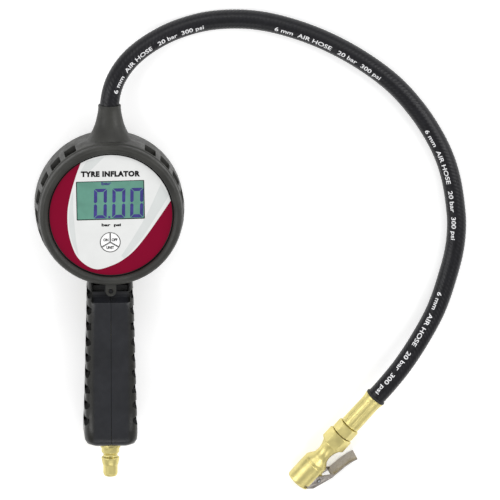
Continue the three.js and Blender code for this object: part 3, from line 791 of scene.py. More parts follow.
def flat_text(words, size, bold=0.0, width=None, height=None, depth=0.06, align="CENTER",
              spacing=1.0):
    """Lettering as a thin flat mesh, in millimetres, about its own middle or left end."""
    data = bpy.data.curves.new("lettering", "FONT")
    data.body = words
    data.size = size
    data.offset = bold
    data.space_character = spacing
    data.extrude = depth / 2
    data.align_x = align
    data.align_y = "CENTER"
    data.resolution_u = 4
    piece = linked("lettering", data)
    mesh = evaluated_mesh(piece)
    bpy.data.objects.remove(piece)
    bpy.data.curves.remove(data)
    low = [min(v.co[a] for v in mesh.vertices) for a in range(2)]
    high = [max(v.co[a] for v in mesh.vertices) for a in range(2)]
    stretch = [
        (width / (high[0] - low[0])) if width else 1.0,
        (height / (high[1] - low[1])) if height else 1.0]
    middle = [(low[0] + high[0]) / 2 if align == "CENTER" else low[0], (low[1] + high[1]) / 2]
    for v in mesh.vertices:
        v.co = ((v.co[0] - middle[0]) * stretch[0], (v.co[1] - middle[1]) * stretch[1], v.co[2])
    return mesh


def text_piece(name, mesh, place, turn=0.0):
    """The lettering at its place in millimetres, as an object in metres."""
    mesh.transform(Matrix.Scale(MM, 4) @ Matrix.Translation(place)
                   @ Matrix.Rotation(turn, 4, "Z"))
    return linked(name, mesh)


PRINT_PLACES = (11.0, 137.0, 262.0, 377.0)  # where each printed mark starts along the hose
PRINT_WORDS = "6 mm  AIR HOSE   20 bar  300 psi"


def make_hose_printing(points, frames):
    """The printing, wrapped on the inner side of the hose's curve with its tops outwards."""
    size = sizes().print_size / MM
    radius = sizes().hose_diameter / MM / 2
    step = HOSE_LENGTH / MM / (len(points) - 1)
    work = bmesh.new()
    for start in PRINT_PLACES:
        mesh = flat_text(PRINT_WORDS, size, bold=0.05, depth=0.12, align="LEFT", width=78.0)
        one = bmesh.new()
        one.from_mesh(mesh)
        bmesh.ops.triangulate(one, faces=one.faces)
        for _ in range(2):
            longest = [e for e in one.edges if e.calc_length() > 0.8]
            bmesh.ops.subdivide_edges(one, edges=longest, cuts=1)
            bmesh.ops.triangulate(one, faces=one.faces)
        for v in one.verts:
            place = (start + v.co.x) / step
            i = max(0, min(len(points) - 2, int(place)))
            t = place - i
            centre = points[i].lerp(points[i + 1], t)
            outward = frames[i][0].lerp(frames[i + 1][0], t)
            upward = frames[i][1].lerp(frames[i + 1][1], t)
            turn = math.radians(-26) + v.co.y / radius
            reach = radius - 0.03 + v.co.z
            v.co = (centre + (upward * math.cos(turn) + outward * math.sin(turn)) * reach) * MM
        one.to_mesh(mesh)
        one.free()
        work.from_mesh(mesh)
        bpy.data.meshes.remove(mesh)
    piece = piece_from("hose_printing", work)
    finish(piece, "inflator", "hose_rubber", printing_ink(), outward=False)
    return piece


# ------------------------------------------------------------------ gauge boot

CONE = [(19.6, 38), (18.4, 41.5), (14.7, 45.7), (11.4, 51.8), (9.3, 57), (7.9, 63), (7.4, 66.4),
        (7.4, 68.6)]


def sampled(points, steps):
    """A flat Catmull-Rom curve through the points."""
    knots = [Vector(p) for p in points]
    padded = [knots[0] * 2 - knots[1], *knots, knots[-1] * 2 - knots[-2]]
    curve = []
    for a, b, c, d in zip(padded, padded[1:], padded[2:], padded[3:]):
        for k in range(steps):
            t = k / steps
            curve.append(tuple(0.5 * (b * 2 + (c - a) * t + (a * 2 - b * 5 + c * 4 - d) * t * t
                                      + (b * 3 - a - c * 3 + d) * t ** 3)))
    curve.append(tuple(knots[-1]))
    return curve


def make_boot():
    rubber = moulded_rubber()
    ring = [(35.2, 0), (46.4, 0), (48.4, 2.2), (48.4, 24), (47.3, 34.5), (46.1, 36.2),
            (46.8, 37.5), (46.1, 40.4), (44.4, 42), (42.8, 42), (41, 40.6), (40.6, 38.9),
            (42.5, 38.9), (42.5, 2.2), (35.2, 2.2)]
    boot = turned("gauge_boot_moulding", rounded(ring, 0.9, 4), 180, "Z")
    cone = [(0, 38), *sampled(CONE, 5), (7.35, 69.0), (7.1, 69.2), (0, 69.2)]
    neck = solid_turned("neck_cone", cone, 96)
    neck.data.transform(Matrix.Translation((0, 0, AIR_Z * MM)))
    half, end = 3.5, -55.2
    tab = [(half, -44.2)] + [
        (half * math.cos(-math.pi * k / 16), end + half + half * math.sin(-math.pi * k / 16))
        for k in range(17)] + [(-half, -44.2)]
    tab = soften(extruded("boot_tab", tab, 30.9, 34.6), 0.4)
    combine(boot, neck, tab, operation="UNION")
    cavity = rod("cavity", 42.5, 2.2, 38.9, (0, 0), "Z", 180)
    opening = rod("opening", 40.6, 38.0, 60.0, (0, 0), "Z", 180)
    bore = rod("bore", 6.65, 40, 75, (0, AIR_Z), "Y", 48)
    foot = rod("foot", 5.8, -55, -40, (0, AIR_Z), "Y", 48)
    screw_hole = rod("screw_hole", 1.6, 25, 40, (0, -51.6), "Z", 24)
    combine(boot, cavity, opening, bore, foot, screw_hole)
    size = sizes()
    half = size.slot_width / MM / 2
    for side in (-1, 1):
        window = rounded([(21, -half), (34, -half), (34, half), (21, half)], 1.2, 4)
        cutter = extruded("slot", [(y, z) for z, y in window], -5.5, 5.5, "X")
        cut_repeatedly(boot, cutter, rubber, **{
            "Count": size.slots_per_side, "Start": (46.5, 0, 0),
            "First turn": math.radians(90 + side * 33), "Turn step": math.radians(side * 15)})
    soften(boot, 0.28, 2, 50)
    finish(boot, "inflator", "boot_rubber", rubber, "gauge_boot", angle=38)

    # The mould's parting line stands proud along the front of the cone.
    front = [(y, AIR_Z + r + 0.02) for r, y in sampled(CONE, 5) if 43.8 < y < 61.5]
    line = front + [(y, z - 0.5) for y, z in reversed(front)]
    seam = extruded("boot_parting_line", line, -0.62, -0.34, "X")
    finish(seam, "inflator", "boot_rubber", rubber, outward=True)


# ------------------------------------------------------------------ dial

PANEL_LOW, PANEL_HIGH, PANEL_R = 37.3, 38.5, 40.2
LCD_CENTRE, LCD_HALF, LCD_TURN = (-0.3, 9.8), (22.15, 12.9), math.radians(1)
KEY_CENTRE, KEY_R = (-0.5, -18.1), 6.45
LEAF_LEFT = [(-17.0, 41.5), (-19.4, 35.0), (-22.4, 26.9), (-25.8, 15.4), (-28, 4), (-28, -7.6),
             (-26.1, -17.6), (-22.4, -26.8), (-16.4, -33), (-8.9, -36)]
LEAF_RIGHT = [(0.1, -33.7), (7.6, -29.9), (15.1, -23.7), (22.6, -14.5), (30.1, -3.8),
              (37.9, 7.8), (44.0, 17.5)]


def turned_rectangle(grow, corner=0.6):
    x, y = LCD_HALF[0] + grow, LCD_HALF[1] + grow
    flat = rounded([(-x, -y), (x, -y), (x, y), (-x, y)], corner, 3)
    c, s = math.cos(LCD_TURN), math.sin(LCD_TURN)
    return [(LCD_CENTRE[0] + a * c - b * s, LCD_CENTRE[1] + a * s + b * c) for a, b in flat]


def inside(point, outline):
    x, y = point
    hit = False
    for (x1, y1), (x2, y2) in zip(outline, outline[1:] + outline[:1]):
        if (y1 > y) != (y2 > y) and x < (x2 - x1) * (y - y1) / (y2 - y1) + x1:
            hit = not hit
    return hit


def printed_sheet(name, outline, holes, regions, low, high):
    """A flat plate whose top is divided into printed areas: each face takes the number of the
    last region that it lies in, and 0 outside them all."""
    points, edges = [], []
    for loop in [outline, *holes, *regions]:
        first = len(points)
        points += [Vector(p) for p in loop]
        edges += [(first + k, first + (k + 1) % len(loop)) for k in range(len(loop))]
    flat, _, triangles, *_ = delaunay_2d_cdt(points, edges, [], 0, 1e-5)
    kept, numbers = [], []
    for triangle in triangles:
        middle = sum((flat[i] for i in triangle), Vector((0, 0))) / len(triangle)
        if not inside(middle, outline) or any(inside(middle, hole) for hole in holes):
            continue
        kept.append(tuple(triangle))
        numbers.append(max([k + 1 for k, area in enumerate(regions) if inside(middle, area)],
                           default=0))
    mesh = bpy.data.meshes.new(name)
    mesh.from_pydata([(p[0] * MM, p[1] * MM, high * MM) for p in flat], [], kept)
    for face, number in zip(mesh.polygons, numbers):
        face.material_index = number
    work = bmesh.new()
    work.from_mesh(mesh)
    loose = [v for v in work.verts if not v.link_faces]
    bmesh.ops.delete(work, geom=loose, context="VERTS")
    grown = bmesh.ops.extrude_face_region(work, geom=list(work.faces))
    for v in grown["geom"]:
        if isinstance(v, bmesh.types.BMVert):
            v.co.z = low * MM
    bmesh.ops.recalc_face_normals(work, faces=work.faces)
    work.to_mesh(mesh)
    work.free()
    return linked(name, mesh)


def make_dial():
    tone = colours()
    crimson, white, pale = (
        named_material(name, polyester_film, rgba) for name, rgba in (
            ("crimson_film", tone.band), ("white_film", tone.film), ("pale_film", tone.sweep)))
    leaf = (sampled(LEAF_LEFT + LEAF_RIGHT, 6) + [(44, 44), (-15, 48)])
    left = [(x + 0.9, y) for x, y in sampled(LEAF_LEFT[3:8], 6)]
    left += [(x + 0.9 + 3.6 * math.sin(math.pi * (k + 1) / 26), y)
             for k, (x, y) in enumerate(reversed(sampled(LEAF_LEFT[3:8], 6)))]
    right = sampled([(32.5, 20.6), (23.2, 0.1), (13.3, -16.9), (6.6, -27.2)], 8)
    right += sampled([(8.6, -29.2), (19.2, -16.9), (27.9, -3.3), (37.6, 12.4)], 8)
    top = [(-15.6, 36.0), (-4.0, 38.9), (-13.4, 29.5), (-20.6, 27.6)]
    rim = circle((0, 0), PANEL_R, 180)
    panel = printed_sheet(
        "dial_face", rim, [turned_rectangle(0.0), circle(KEY_CENTRE, KEY_R + 0.3, 72)],
        [leaf, left, right, top], PANEL_LOW, PANEL_HIGH)
    for material in (crimson, white, pale, pale, pale):
        panel.data.materials.append(material)
    smooth(panel.data, 30)
    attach(panel, "inflator")
    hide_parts("front_panel")

    title = flat_text("TYRE INFLATOR", 4.0, bold=0.27, width=38.4, height=3.9, spacing=1.12)
    units = flat_text("bar  psi", 2.6, bold=0.13, width=12.6, height=2.5)
    for name, words, place in (("dial_title", title, (-0.2, 27.3, PANEL_HIGH + 0.01)),
                               ("dial_units", units, (0.2, -6.8, PANEL_HIGH + 0.01))):
        piece = text_piece(name, words, place)
        finish(piece, "inflator", "white_panel", black_ink_and_shade(), outward=False)

    # The glossy edge of the case shows as a thin line inside the boot's lip.
    edge = rounded([(39.75, 38.5), (40.15, 38.85), (40.5, 38.6), (40.5, 38.42), (39.75, 38.42)],
                   0.15, 3)
    rim_line = turned("case_rim_line", edge, 180, "Z")
    finish(rim_line, "inflator", "black_plastic", black_abs())


SEGMENT = 2.1  # thickness of a display segment


def make_display():
    plate = extruded("display_plate", turned_rectangle(-0.35), 33.7, 37.9)
    soften(plate, 0.12, 1)
    finish(plate, "inflator", "liquid_crystal", display_ground(), "lcd_window", "lcd_module")

    # The dark line round the display is painted shade: a band of black ink that stands in for the
    # shadowed wall of its window.
    shade_border = printed_sheet("display_border", turned_rectangle(0.0), [turned_rectangle(-0.55)], [],
                           36.9, 37.95)
    finish(shade_border, "inflator", "black_plastic", black_ink_and_shade(), outward=False)

    height = sizes().digit_height / MM
    width, gap, slant = 8.4, 0.35, 0.032
    t = SEGMENT
    half = height / 2
    upright = [(0, gap), (t, gap + t * 0.9), (t, half - t * 0.55), (t * 0.5, half - gap * 0.6),
               (0, half - t * 0.45)]
    bar = [(gap, 0), (width - gap, 0), (width - gap - t, t), (gap + t, t)]
    shapes = [bar, [(x, height - y) for x, y in bar]]
    for mirrored in (False, True):
        for flipped in (False, True):
            shapes.append([(width - x if mirrored else x, height - y if flipped else y)
                           for x, y in upright])
    work = bmesh.new()
    c, s = math.cos(LCD_TURN), math.sin(LCD_TURN)
    outlines = [[(left + x + slant * y, y - 2.15) for x, y in shape]
                for left in (-11.2, 0.75, 12.4) for shape in shapes]
    outlines.append([(-1.75, -2.1), (-0.35, -2.1), (-0.35, -0.8), (-1.75, -0.8)])
    for outline in outlines:
        flat = [(x * c - y * s, x * s + y * c) for x, y in rounded(outline, 0.3, 2)]
        segment = extruded("segment", flat, 37.6, 37.93)
        work.from_mesh(segment.data)
        discard(segment)
    digits = piece_from("display_digits", work)
    finish(digits, "inflator", "liquid_crystal", display_segments(), outward=False)

    words = flat_text("bar", 3.0, bold=0.1, width=6.4, height=2.3)
    unit = text_piece("display_unit", words, (-2.9, 20.9, 37.91), LCD_TURN)
    finish(unit, "inflator", "liquid_crystal", display_segments(), outward=False)


KEY_GAP = 0.3  # clearance between two keys


def key_sector(middle, inset):
    """One third of the key pad, with its edges drawn in by the inset."""
    x0, y0 = KEY_CENTRE
    radius, away = KEY_R - inset, KEY_GAP / 2 + inset
    tip = away / math.sin(math.radians(60))
    half = math.radians(60) - math.asin(away / radius)
    arc = [middle + half * (k / 24 - 1) for k in range(49)]
    sector = [(x0 + tip * math.cos(middle), y0 + tip * math.sin(middle))]
    return sector + [(x0 + radius * math.cos(a), y0 + radius * math.sin(a)) for a in arc]


def make_keys():
    film = named_material("key_film", polyester_film, colours().film)
    x0, y0 = KEY_CENTRE
    for node, body, start, words, reach in (
            ("off_key", "off_button", -30, "OFF", 3.25),
            ("on_key", "on_button", 90, "ON", 3.25),
            ("unit_key", "unit_button", 210, "UNIT", 3.5)):
        middle = math.radians(start + 60)
        key = extruded(node + "_cap", rounded(key_sector(middle, 0), 0.25, 3), 36.9, 38.5)
        soften(key, 0.1, 2)
        finish(key, body, "key_film", film, node)
        lettering = flat_text(words, 2.1, bold=0.11, height=2.0)
        place = (x0 + reach * math.cos(middle), y0 + reach * math.sin(middle), 38.5)
        letters = text_piece(node + "_lettering", lettering, place)
        finish(letters, body, "key_film", black_ink_and_shade(), outward=False)
        # A thin band of black ink along each key's edge: painted shade that darkens the gap round the
        # key.
        shade_border = printed_sheet(node + "_outline", key_sector(middle, 0.04),
                               [key_sector(middle, 0.3)], [], 38.45, 38.54)
        finish(shade_border, body, "key_film", black_ink_and_shade(), outward=False)


# ------------------------------------------------------------------ grip

# Along Y: half width, back and front of the grip.
GRIP_STATIONS = [
    (-43, 14.4, 3, 30.6), (-48, 14.6, 3, 31.2), (-54, 14.9, 4, 33.4), (-60, 15.1, 6.4, 35.2),
    (-66, 15.2, 8.2, 35.4), (-80, 15.6, 8.8, 35.2), (-100, 16.1, 9, 34.9),
    (-120, 16.6, 8.8, 34.9), (-134, 17, 7.6, 35.3), (-139.5, 17.2, 3.6, 36.3),
    (-144.5, 17.3, 0.6, 37.2), (-147.5, 17.3, 0, 37.4), (-151.5, 17, 0, 37),
    (-154.1, 15.6, 1.2, 35.6), (-155.5, 12.8, 3.6, 33),
]


NOTCH_FIRST, NOTCH_LAST = -54.3, -141  # places of the first and the last notch along Y


def grip_section(half_width, back, front, quarter=10):
    """A rounded rectangle whose corners take four tenths of each half side."""
    middle, half = (back + front) / 2, (front - back) / 2
    ring = []
    for start in range(4):
        for k in range(quarter + 1):
            turn = math.pi / 2 * (start + k / quarter)
            c, s = math.cos(turn), math.sin(turn)
            sx, sz = ((1, 1), (-1, 1), (-1, -1), (1, -1))[start]
            ring.append((half_width * (0.6 * sx + 0.4 * c), middle + half * (0.6 * sz + 0.4 * s)))
    return ring


def grip_rings(inset, stations):
    knots = [Vector(s) for s in stations]
    rings = []
    for a, b in zip(knots, knots[1:]):
        steps = max(1, round(abs(b[0] - a[0]) / 2.5))
        rings += [a.lerp(b, k / steps) for k in range(steps)]
    rings.append(knots[-1])
    smoothed = []
    for i, ring in enumerate(rings):
        near = rings[max(0, i - 1):i + 2]
        if len(near) == 3 and -147.5 < ring[0] < -45:
            middle = sum((Vector(n[1:]) for n in near), Vector((0, 0, 0))) / 3
            ring = Vector((ring[0], *(Vector(ring[1:]) * 0.4 + middle * 0.6)))
        smoothed.append(ring)
    return [[(x, y, z) for x, z in grip_section(w - inset, b + inset, f - inset)]
            for y, w, b, f in (tuple(s) for s in smoothed)]


def grip_half_width(y):
    for a, b in zip(GRIP_STATIONS, GRIP_STATIONS[1:]):
        if a[0] >= y >= b[0]:
            return a[1] + (b[1] - a[1]) * (y - a[0]) / (b[0] - a[0])
    return GRIP_STATIONS[-1][1]


def make_grip():
    nylon = glass_filled_nylon()
    size = sizes()
    grip = lofted("grip", grip_rings(0, GRIP_STATIONS))
    stations = [(y, w, b, min(f, 29.6) if y > -61 else f)
                for y, w, b, f in GRIP_STATIONS if y > -152.5]
    stations[0] = (-38, *stations[0][1:])
    stations[-1] = (-153.9, *stations[-1][1:])
    hollow = lofted("hollow", grip_rings(3.4, stations))
    dish = [(-40, 28.4), (-53, 28.4), (-55, 28.7), (-56.8, 29.7), (-58.2, 31.6), (-59.2, 34),
            (-59.9, 37), (-60.4, 45), (-40, 45)]
    scoop = soften(extruded("scoop", rounded(dish, 0.4, 2), -12.7, 12.7, "X"), 0.8, 3, 60)
    neck = rod("neck", 48.7, -5, 50, (0, 0), "Z", 180)
    windows = [block("window", x, (-53.2, -44), (20, 32)) for x in ((-11.8, -4), (4, 11.8))]
    tab_screw = rod("tab_screw", 3, 20, 40, (0, -51.6), "Z", 32)
    trigger_slot = block("trigger_slot", (-7.6, 7.6), (-139, -52), (-2, 13.5))
    hinge_slot = block("hinge_slot", (-11.3, 11.3), (-67, -53), (-2, 13.5))
    inlet = rod("inlet", 6.9, -162, -150, (0, AIR_Z), "Y", 48)
    screw = rod("screw", 1.6, -20, 20, (-148.5, 8.5), "X", 24)
    head = rod("head", 2.9, 14.5, 20, (-148.5, 8.5), "X", 32)
    combine(grip, hollow, scoop, neck, *windows, tab_screw, trigger_slot, hinge_slot, inlet, screw,
            head)
    for side, name, node in ((1, "left_grip_moulding", "left_grip_shell"),
                             (-1, "right_grip_moulding", "right_grip_shell")):
        shell = linked(name, grip.data.copy())
        far = (-30, -0.12) if side < 0 else (0.12, 30)
        half = block("half", far, (-170, -30), (-10, 50))
        combine(shell, half, operation="INTERSECT")
        start = Vector((side * (grip_half_width(NOTCH_FIRST) + 0.6), NOTCH_FIRST, 0))
        spread = grip_half_width(NOTCH_LAST) - grip_half_width(NOTCH_FIRST)
        step = Vector((side * spread / 8, -size.notch_pitch / MM, 0))
        cutter = rod("notch", size.notch_radius / MM, 15.5, 40, (0, 0), "Z", 32)
        cut_repeatedly(shell, cutter, nylon, **{
            "Count": size.notches_per_side, "Step": step, "Start": start})
        soften(shell, 0.3, 2, 48)
        finish(shell, "inflator", "grip_plastic", nylon, node, angle=40)
        # The faces inside the notches are painted near black: painted shade in the deep notches.
        middles = [start + step * i for i in range(size.notches_per_side)]
        reach = size.notch_radius / MM + 0.1
        paint_faces(shell, shadowed_nylon(), lambda p: p.z > 15.3 and any(
            (p.xy - middle.xy).length < reach for middle in middles))
    discard(grip)

    # black rubber block round the air tube, seen through the neck's windows: a dark piece put
    # there as painted shade for the dark inside of the windows
    shade_packing = block("neck_packing", (-11.2, 11.2), (-58, -49.6), (13.6, 25.8))
    tube = rod("tube", 5.9, -70, -40, (0, AIR_Z), "Y", 48)
    screw_boss = rod("screw_boss", 1.7, 20, 40, (0, -51.6), "Z", 24)
    combine(shade_packing, tube, screw_boss)
    finish(shade_packing, "inflator", "nitrile", nitrile_rubber_and_shade())


def make_trigger():
    lever = remade_node("trigger_lever", "trigger_paddle", 0.6, 3, 40)
    finish(lever, "trigger", "grip_plastic", glass_filled_nylon(), "trigger_lever", angle=40)
    pin = remade_node("trigger_pin", "trigger_hinge_pin", 0.25, 2, 50)
    finish(pin, "inflator", "steel", zinc_plate(), "trigger_pin", angle=30)


# ------------------------------------------------------------------ inlet plug

def make_inlet():
    profile = [(2.9, -149), (5.6, -149), (5.6, -155.7), (6.4, -155.9), (6.4, -158.1),
               (6.55, -158.2), (6.55, -159.3), (5.8, -159.6), (5.8, -162.4), (4.6, -163.8),
               (4.6, -165.1), (5.85, -166), (5.85, -166.8), (5.1, -170.8), (4.72, -171),
               (4.72, -176.8), (3.9, -178.5), (2.9, -178.5)]
    plug = turned("inlet_nipple", rounded(profile, 0.3, 3), 96)
    plug.data.transform(Matrix.Translation((0, 0, AIR_Z * MM)))
    finish(plug, "inflator", "brass", turned_brass(), "inlet_plug", angle=30)


# ------------------------------------------------------------------ hose fitting and chuck

def fitting_matrix():
    """From the fitting's own frame (lever, axis, across, from the mouth) to the model's."""
    turn = Matrix((FITTING_LEVER, FITTING_AXIS, FITTING_ACROSS)).transposed()
    return Matrix.Translation(FITTING_MOUTH * MM) @ turn.to_4x4()


def hexagon(name, corner_radius, low, high, chamfer):
    """A hexagonal nut, its corners turned back at both ends."""
    flat = [(corner_radius * math.cos(TAU * (k + 0.5) / 6),
             corner_radius * math.sin(TAU * (k + 0.5) / 6)) for k in range(6)]
    nut = extruded(name, rounded(flat, 0.25, 2), low, high, "Y")
    r = corner_radius
    profile = [(0, low), (r - chamfer, low), (r + 0.05, low + chamfer * 0.8),
               (r + 0.05, high - chamfer * 0.8), (r - chamfer, high), (0, high)]
    envelope = solid_turned("envelope", profile, 96)
    return combine(nut, envelope, operation="INTERSECT")


def make_hose_fitting():
    brass = turned_brass()
    place = fitting_matrix()
    profile = [(4.2, 51.9), (6.15, 51.9), (6.4, 52.6), (6.45, 54), (6.3, 71.5), (6.55, 74.2),
               (6.95, 75.8), (6.95, 76.6), (6.75, 76.8), (4.2, 76.8)]
    ferrule = turned("crimped_ferrule", rounded(profile, 0.3, 3), 96)
    # the crimping dies leave shallow flutes round the sleeve
    flute = extruded("flute", [(0.26 * math.cos(TAU * k / 12), 0.42 * math.sin(TAU * k / 12))
                               for k in range(12)], 54.2, 73.4, "Z")
    turn_up = Matrix.Rotation(math.radians(90), 4, "X")
    ferrule.data.transform(turn_up)
    cut_repeatedly(ferrule, flute, brass, **{
        "Count": 16, "Start": (6.5, 0, 0), "Turn step": TAU / 16})
    ferrule.data.transform(turn_up.inverted())
    ferrule.data.transform(place)
    finish(ferrule, "inflator", "brass", brass, "hose_ferrule", angle=32)

    # the hose's rubber squeezed out behind the sleeve
    ring = [(6.2, 76.85), (7.0, 76.85), (7.15, 77.3), (7.1, 77.9), (6.75, 78.3), (6.2, 78.4)]
    squeeze = turned("ferrule_rubber_ring", rounded(ring, 0.3, 3), 72)
    squeeze.data.transform(place)
    finish(squeeze, "inflator", "hose_rubber", nitrile_rubber_and_shade())

    collar = hexagon("union_nut", 7.7, 44.15, 51.4, 0.7)
    neck = turned("neck", [(2.2, 43.9), (6.1, 43.9), (6.1, 51.6), (2.2, 51.6)], 64)
    combine(collar, neck, operation="UNION")
    bore = solid_turned("bore", [(0, 40), (1.9, 40), (1.9, 80), (0, 80)], 32)
    combine(collar, bore)
    collar.data.transform(place)
    finish(collar, "inflator", "brass", brass, "hose_collar", angle=30)
    return [ferrule, squeeze, collar]


def make_chuck():
    brass = turned_brass()
    place = fitting_matrix()
    outside = [(0, 0), (7.4, 0), (8.15, 0.6), (8.34, 1.5), (8.34, 16.3), (8.0, 16.6),
               (8.0, 17.1), (8.34, 17.4), (8.2, 18.6), (7, 20.6), (5.5, 22.8), (4.9, 25.4), (4.9, 27.6),
               (5.4, 30.2), (6.5, 33), (7, 33.9), (7, 35), (0, 35)]
    head = outside[:8]
    waist = sampled(outside[8:16], 4)
    chuck = solid_turned("clip_on_chuck", rounded(head, 0.3, 3, closed=False)
                         + waist + outside[16:], 120)
    nut = hexagon("nut", 8.65, 34.4, 43.6, 1.0)
    lug = soften(block("lug", (5, 10.8), (6.6, 13.2), (-1.6, 1.6)), 0.3)
    combine(chuck, nut, lug, operation="UNION")
    socket = solid_turned("socket", [(0, -1), (4.6, -1), (4.6, 0), (4.3, 0.5), (4.3, 9), (0, 9)],
                          64)
    bore = solid_turned("bore", [(0, 8), (2.3, 8), (2.3, 45), (0, 45)], 48)
    saw = block("saw", (1.2, 12), (1.3, 3.4), (-10, 10))
    flats = [block("flat", (4.2, 12), (-1, 18), z) for z in ((4.1, 10), (-10, -4.1))]
    pocket = block("pocket", (6.3, 12), (7.5, 12.4), (1.6, 4.4))
    pin_hole = rod("pin_hole", 1.2, -6, 6, (8.6, 9.9), "Z", 24)
    combine(chuck, socket, bore, saw, *flats, pocket, pin_hole)
    soften(chuck, 0.14, 2, 50)
    chuck.data.transform(place)
    finish(chuck, "inflator", "brass", brass, "chuck_body", angle=30)

    pin = turned("clip_pin", rounded([(0.02, -5.6), (0.85, -5.6), (1.0, -5.3), (1.0, 5.3),
                                      (0.85, 5.6), (0.02, 5.6)], 0.1, 2), 32, "Z")
    pin.data.transform(place @ Matrix.Translation((8.6 * MM, 9.9 * MM, 0)))
    finish(pin, "inflator", "steel", zinc_plate(), "chuck_lever_pin", angle=30)

    turns, steps = 3, 90
    rings = []
    for i in range(steps + 1):
        turn = TAU * turns * i / steps
        out = Vector((math.cos(turn), math.sin(turn), 0))
        centre = out * 1.75 + Vector((0, 0, 2 + 1.8 * i / steps))
        rings.append([centre + out * x + Vector((0, 0, z)) for x, z in circle((0, 0), 0.25, 10)])
    spring = lofted("clip_spring", rings)
    spring.data.transform(place @ Matrix.Translation((8.6 * MM, 9.9 * MM, 0)))
    finish(spring, "inflator", "steel", zinc_plate(), "chuck_lever_spring", angle=40)
    return [chuck, pin, spring]


def make_clip_lever():
    place = fitting_matrix()
    cheek = rounded([(5.1, 0.7), (9.4, 3.4), (14.6, 17), (14.8, 19.4), (13.2, 19), (7.6, 13.6),
                     (5.4, 12)], 0.7, 4)
    thumb = rounded([(14.4, 16.6), (15, 20), (16.2, 28), (17.6, 33), (19.3, 37), (18.4, 37.4),
                     (16.7, 33.4), (15.2, 28.4), (14, 20.2), (13.4, 17.2)], 0.5, 3)
    lever = extruded("clip_lever", cheek, 4.35, 5.25)
    other = extruded("other_cheek", cheek, -5.25, -4.35)
    plate = extruded("thumb_plate", thumb, -5.25, 5.25)
    claw = block("claw", (4, 8.4), (2.5, 3.1), (-4.9, 4.9))
    combine(lever, other, plate, claw, operation="UNION")
    mouth = solid_turned("mouth", [(0, -1), (3.95, -1), (3.95, 9), (0, 9)], 48)
    hole = rod("hole", 1.25, -6, 6, (8.6, 9.9), "Z", 24)
    combine(lever, mouth, hole)
    soften(lever, 0.16, 2, 50)
    lever.data.transform(place)
    return finish(lever, "clip", "steel", brushed_steel(), "chuck_lever", angle=30)


# ------------------------------------------------------------------ back and inside

def make_back():
    cover = remade_node("battery_cover", "battery_door", 0.35, 2, 40)
    finish(cover, "inflator", "black_plastic", black_abs(), "battery_cover", angle=30)
    for node, width, slot, material in (
            ("cover_screw_1", 0.12, "zinc", zinc_plate), ("cover_screw_2", 0.12, "zinc", zinc_plate),
            ("grip_screw", 0.2, "steel", zinc_plate), ("boot_tab_screw", 0.12, "steel", black_oxide)):
        screw = remade_node(node, node + "_head", width, 2, 50)
        finish(screw, "inflator", slot, material(), node, angle=30)


# The nodes that show as they were packed, or not at all, by what they are made of.
NODE_FINISHES = {
    black_abs: ("gauge_case", "battery_holder"),
    light_guide: ("backlight",),
    silicone_rubber: ("key_mat",),
    fibreglass_board: ("circuit_board",),
    cell_jacket: ("battery_1", "battery_2"),
    sintered_bronze: ("inlet_filter",),
    zinc_plate: ("pressure_sensor", "front_battery_contact", "rear_battery_contact",
                 "valve_spring"),
    nitrile_rubber_and_shade: ("sensor_seal", "stem_seal", "cap_seal", "inlet_washer", "chuck_seal"),
    turned_brass: ("valve_body", "valve_stem", "stem_guide", "valve_cap", "hose_nipple",
                   "hose_crimp_sleeve", "valve_depressor"),
}


def dress_inner_nodes():
    for material, nodes in NODE_FINISHES.items():
        for node in nodes:
            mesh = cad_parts[node].data
            mesh.materials.clear()
            mesh.materials.append(material())


# ------------------------------------------------------------------ operators


def lay_hose():
    hose, points, frames = make_hose()
    make_hose_printing(points, frames)


def declare_cord():
    [point * MM for point in hose_points()]


class INFLATOR_OT_stage(bpy.types.Operator):
    """Make the floor, the lights and the camera"""
    bl_idname = "inflator.stage"
    bl_label = "Stage"

    def execute(self, context):
        make_stage()
        return {"FINISHED"}


class INFLATOR_OT_hose(bpy.types.Operator):
    """Make the air hose and the printing on it"""
    bl_idname = "inflator.hose"
    bl_label = "Air hose"

    def execute(self, context):
        lay_hose()
        return {"FINISHED"}


class INFLATOR_OT_boot(bpy.types.Operator):
    """Make the rubber boot round the gauge"""
    bl_idname = "inflator.boot"
    bl_label = "Gauge boot"

    def execute(self, context):
        make_boot()
        return {"FINISHED"}


class INFLATOR_OT_dial(bpy.types.Operator):
    """Make the printed dial and the edge of its crystal"""
    bl_idname = "inflator.dial"
    bl_label = "Dial"

    def execute(self, context):
        make_dial()
        return {"FINISHED"}


class INFLATOR_OT_display(bpy.types.Operator):
    """Make the display and its digits"""
    bl_idname = "inflator.display"
    bl_label = "Display"

    def execute(self, context):
        make_display()
        return {"FINISHED"}


class INFLATOR_OT_keys(bpy.types.Operator):
    """Make the three keys and their lettering"""
    bl_idname = "inflator.keys"
    bl_label = "Keys"

    def execute(self, context):
        make_keys()
        return {"FINISHED"}


class INFLATOR_OT_grip(bpy.types.Operator):
    """Make the two shells of the grip"""
    bl_idname = "inflator.grip"
    bl_label = "Grip"

    def execute(self, context):
        make_grip()
        return {"FINISHED"}


class INFLATOR_OT_trigger(bpy.types.Operator):
    """Make the trigger lever and its pin"""
    bl_idname = "inflator.trigger"
    bl_label = "Trigger"

    def execute(self, context):
        make_trigger()
        return {"FINISHED"}


class INFLATOR_OT_inlet(bpy.types.Operator):
    """Make the brass inlet plug"""
    bl_idname = "inflator.inlet"
    bl_label = "Inlet plug"

    def execute(self, context):
        make_inlet()
        return {"FINISHED"}


class INFLATOR_OT_fitting(bpy.types.Operator):
    """Make the crimped ferrule, its rubber ring and the union nut"""
    bl_idname = "inflator.fitting"
    bl_label = "Hose fitting"

    def execute(self, context):
        make_hose_fitting()
        return {"FINISHED"}


class INFLATOR_OT_chuck(bpy.types.Operator):
    """Make the clip-on chuck, its pin and its spring"""
    bl_idname = "inflator.chuck"
    bl_label = "Chuck"

    def execute(self, context):
        make_chuck()
        return {"FINISHED"}


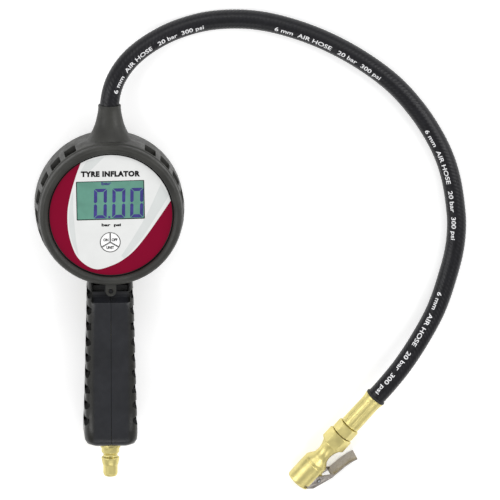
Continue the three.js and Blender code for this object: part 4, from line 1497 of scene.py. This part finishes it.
class INFLATOR_OT_clip(bpy.types.Operator):
    bl_idname = "inflator.clip"
    bl_label = "Clip lever"

    def execute(self, context):
        make_clip_lever()
        declare_cord()
        return {"FINISHED"}


class INFLATOR_OT_back(bpy.types.Operator):
    """Make the battery door and the screws"""
    bl_idname = "inflator.back"
    bl_label = "Battery door and screws"

    def execute(self, context):
        make_back()
        return {"FINISHED"}


class INFLATOR_OT_inside(bpy.types.Operator):
    """Give the inner parts their materials"""
    bl_idname = "inflator.inside"
    bl_label = "Inner parts"

    def execute(self, context):
        dress_inner_nodes()
        return {"FINISHED"}


class INFLATOR_PT_panel(bpy.types.Panel):
    """Lists the steps that make the inflator, in order"""
    bl_idname = "INFLATOR_PT_panel"
    bl_label = "Tyre inflator"
    bl_space_type = "VIEW_3D"
    bl_region_type = "UI"
    bl_category = "Inflator"

    def draw(self, context):
        for operator in OPERATORS:
            self.layout.operator(operator.bl_idname)
        for settings in (context.scene.inflator_sizes, context.scene.inflator_colours):
            for name in settings.__annotations__:
                self.layout.prop(settings, name)


OPERATORS = (
    INFLATOR_OT_stage, INFLATOR_OT_hose, INFLATOR_OT_boot, INFLATOR_OT_dial,
    INFLATOR_OT_display, INFLATOR_OT_keys, INFLATOR_OT_grip, INFLATOR_OT_trigger,
    INFLATOR_OT_inlet, INFLATOR_OT_fitting, INFLATOR_OT_chuck, INFLATOR_OT_clip,
    INFLATOR_OT_back, INFLATOR_OT_inside,
)
CLASSES = (InflatorColours, InflatorSizes, *OPERATORS, INFLATOR_PT_panel)


def register():
    for one in CLASSES:
        bpy.utils.register_class(one)
    bpy.types.Scene.inflator_colours = bpy.props.PointerProperty(type=InflatorColours)
    bpy.types.Scene.inflator_sizes = bpy.props.PointerProperty(type=InflatorSizes)


def unregister():
    del bpy.types.Scene.inflator_sizes
    del bpy.types.Scene.inflator_colours
    for one in reversed(CLASSES):
        bpy.utils.unregister_class(one)


def main():
    register()
    for operator in OPERATORS:
        group, name = operator.bl_idname.split(".")
        getattr(getattr(bpy.ops, group), name)()


if __name__ == "__main__":
    main()
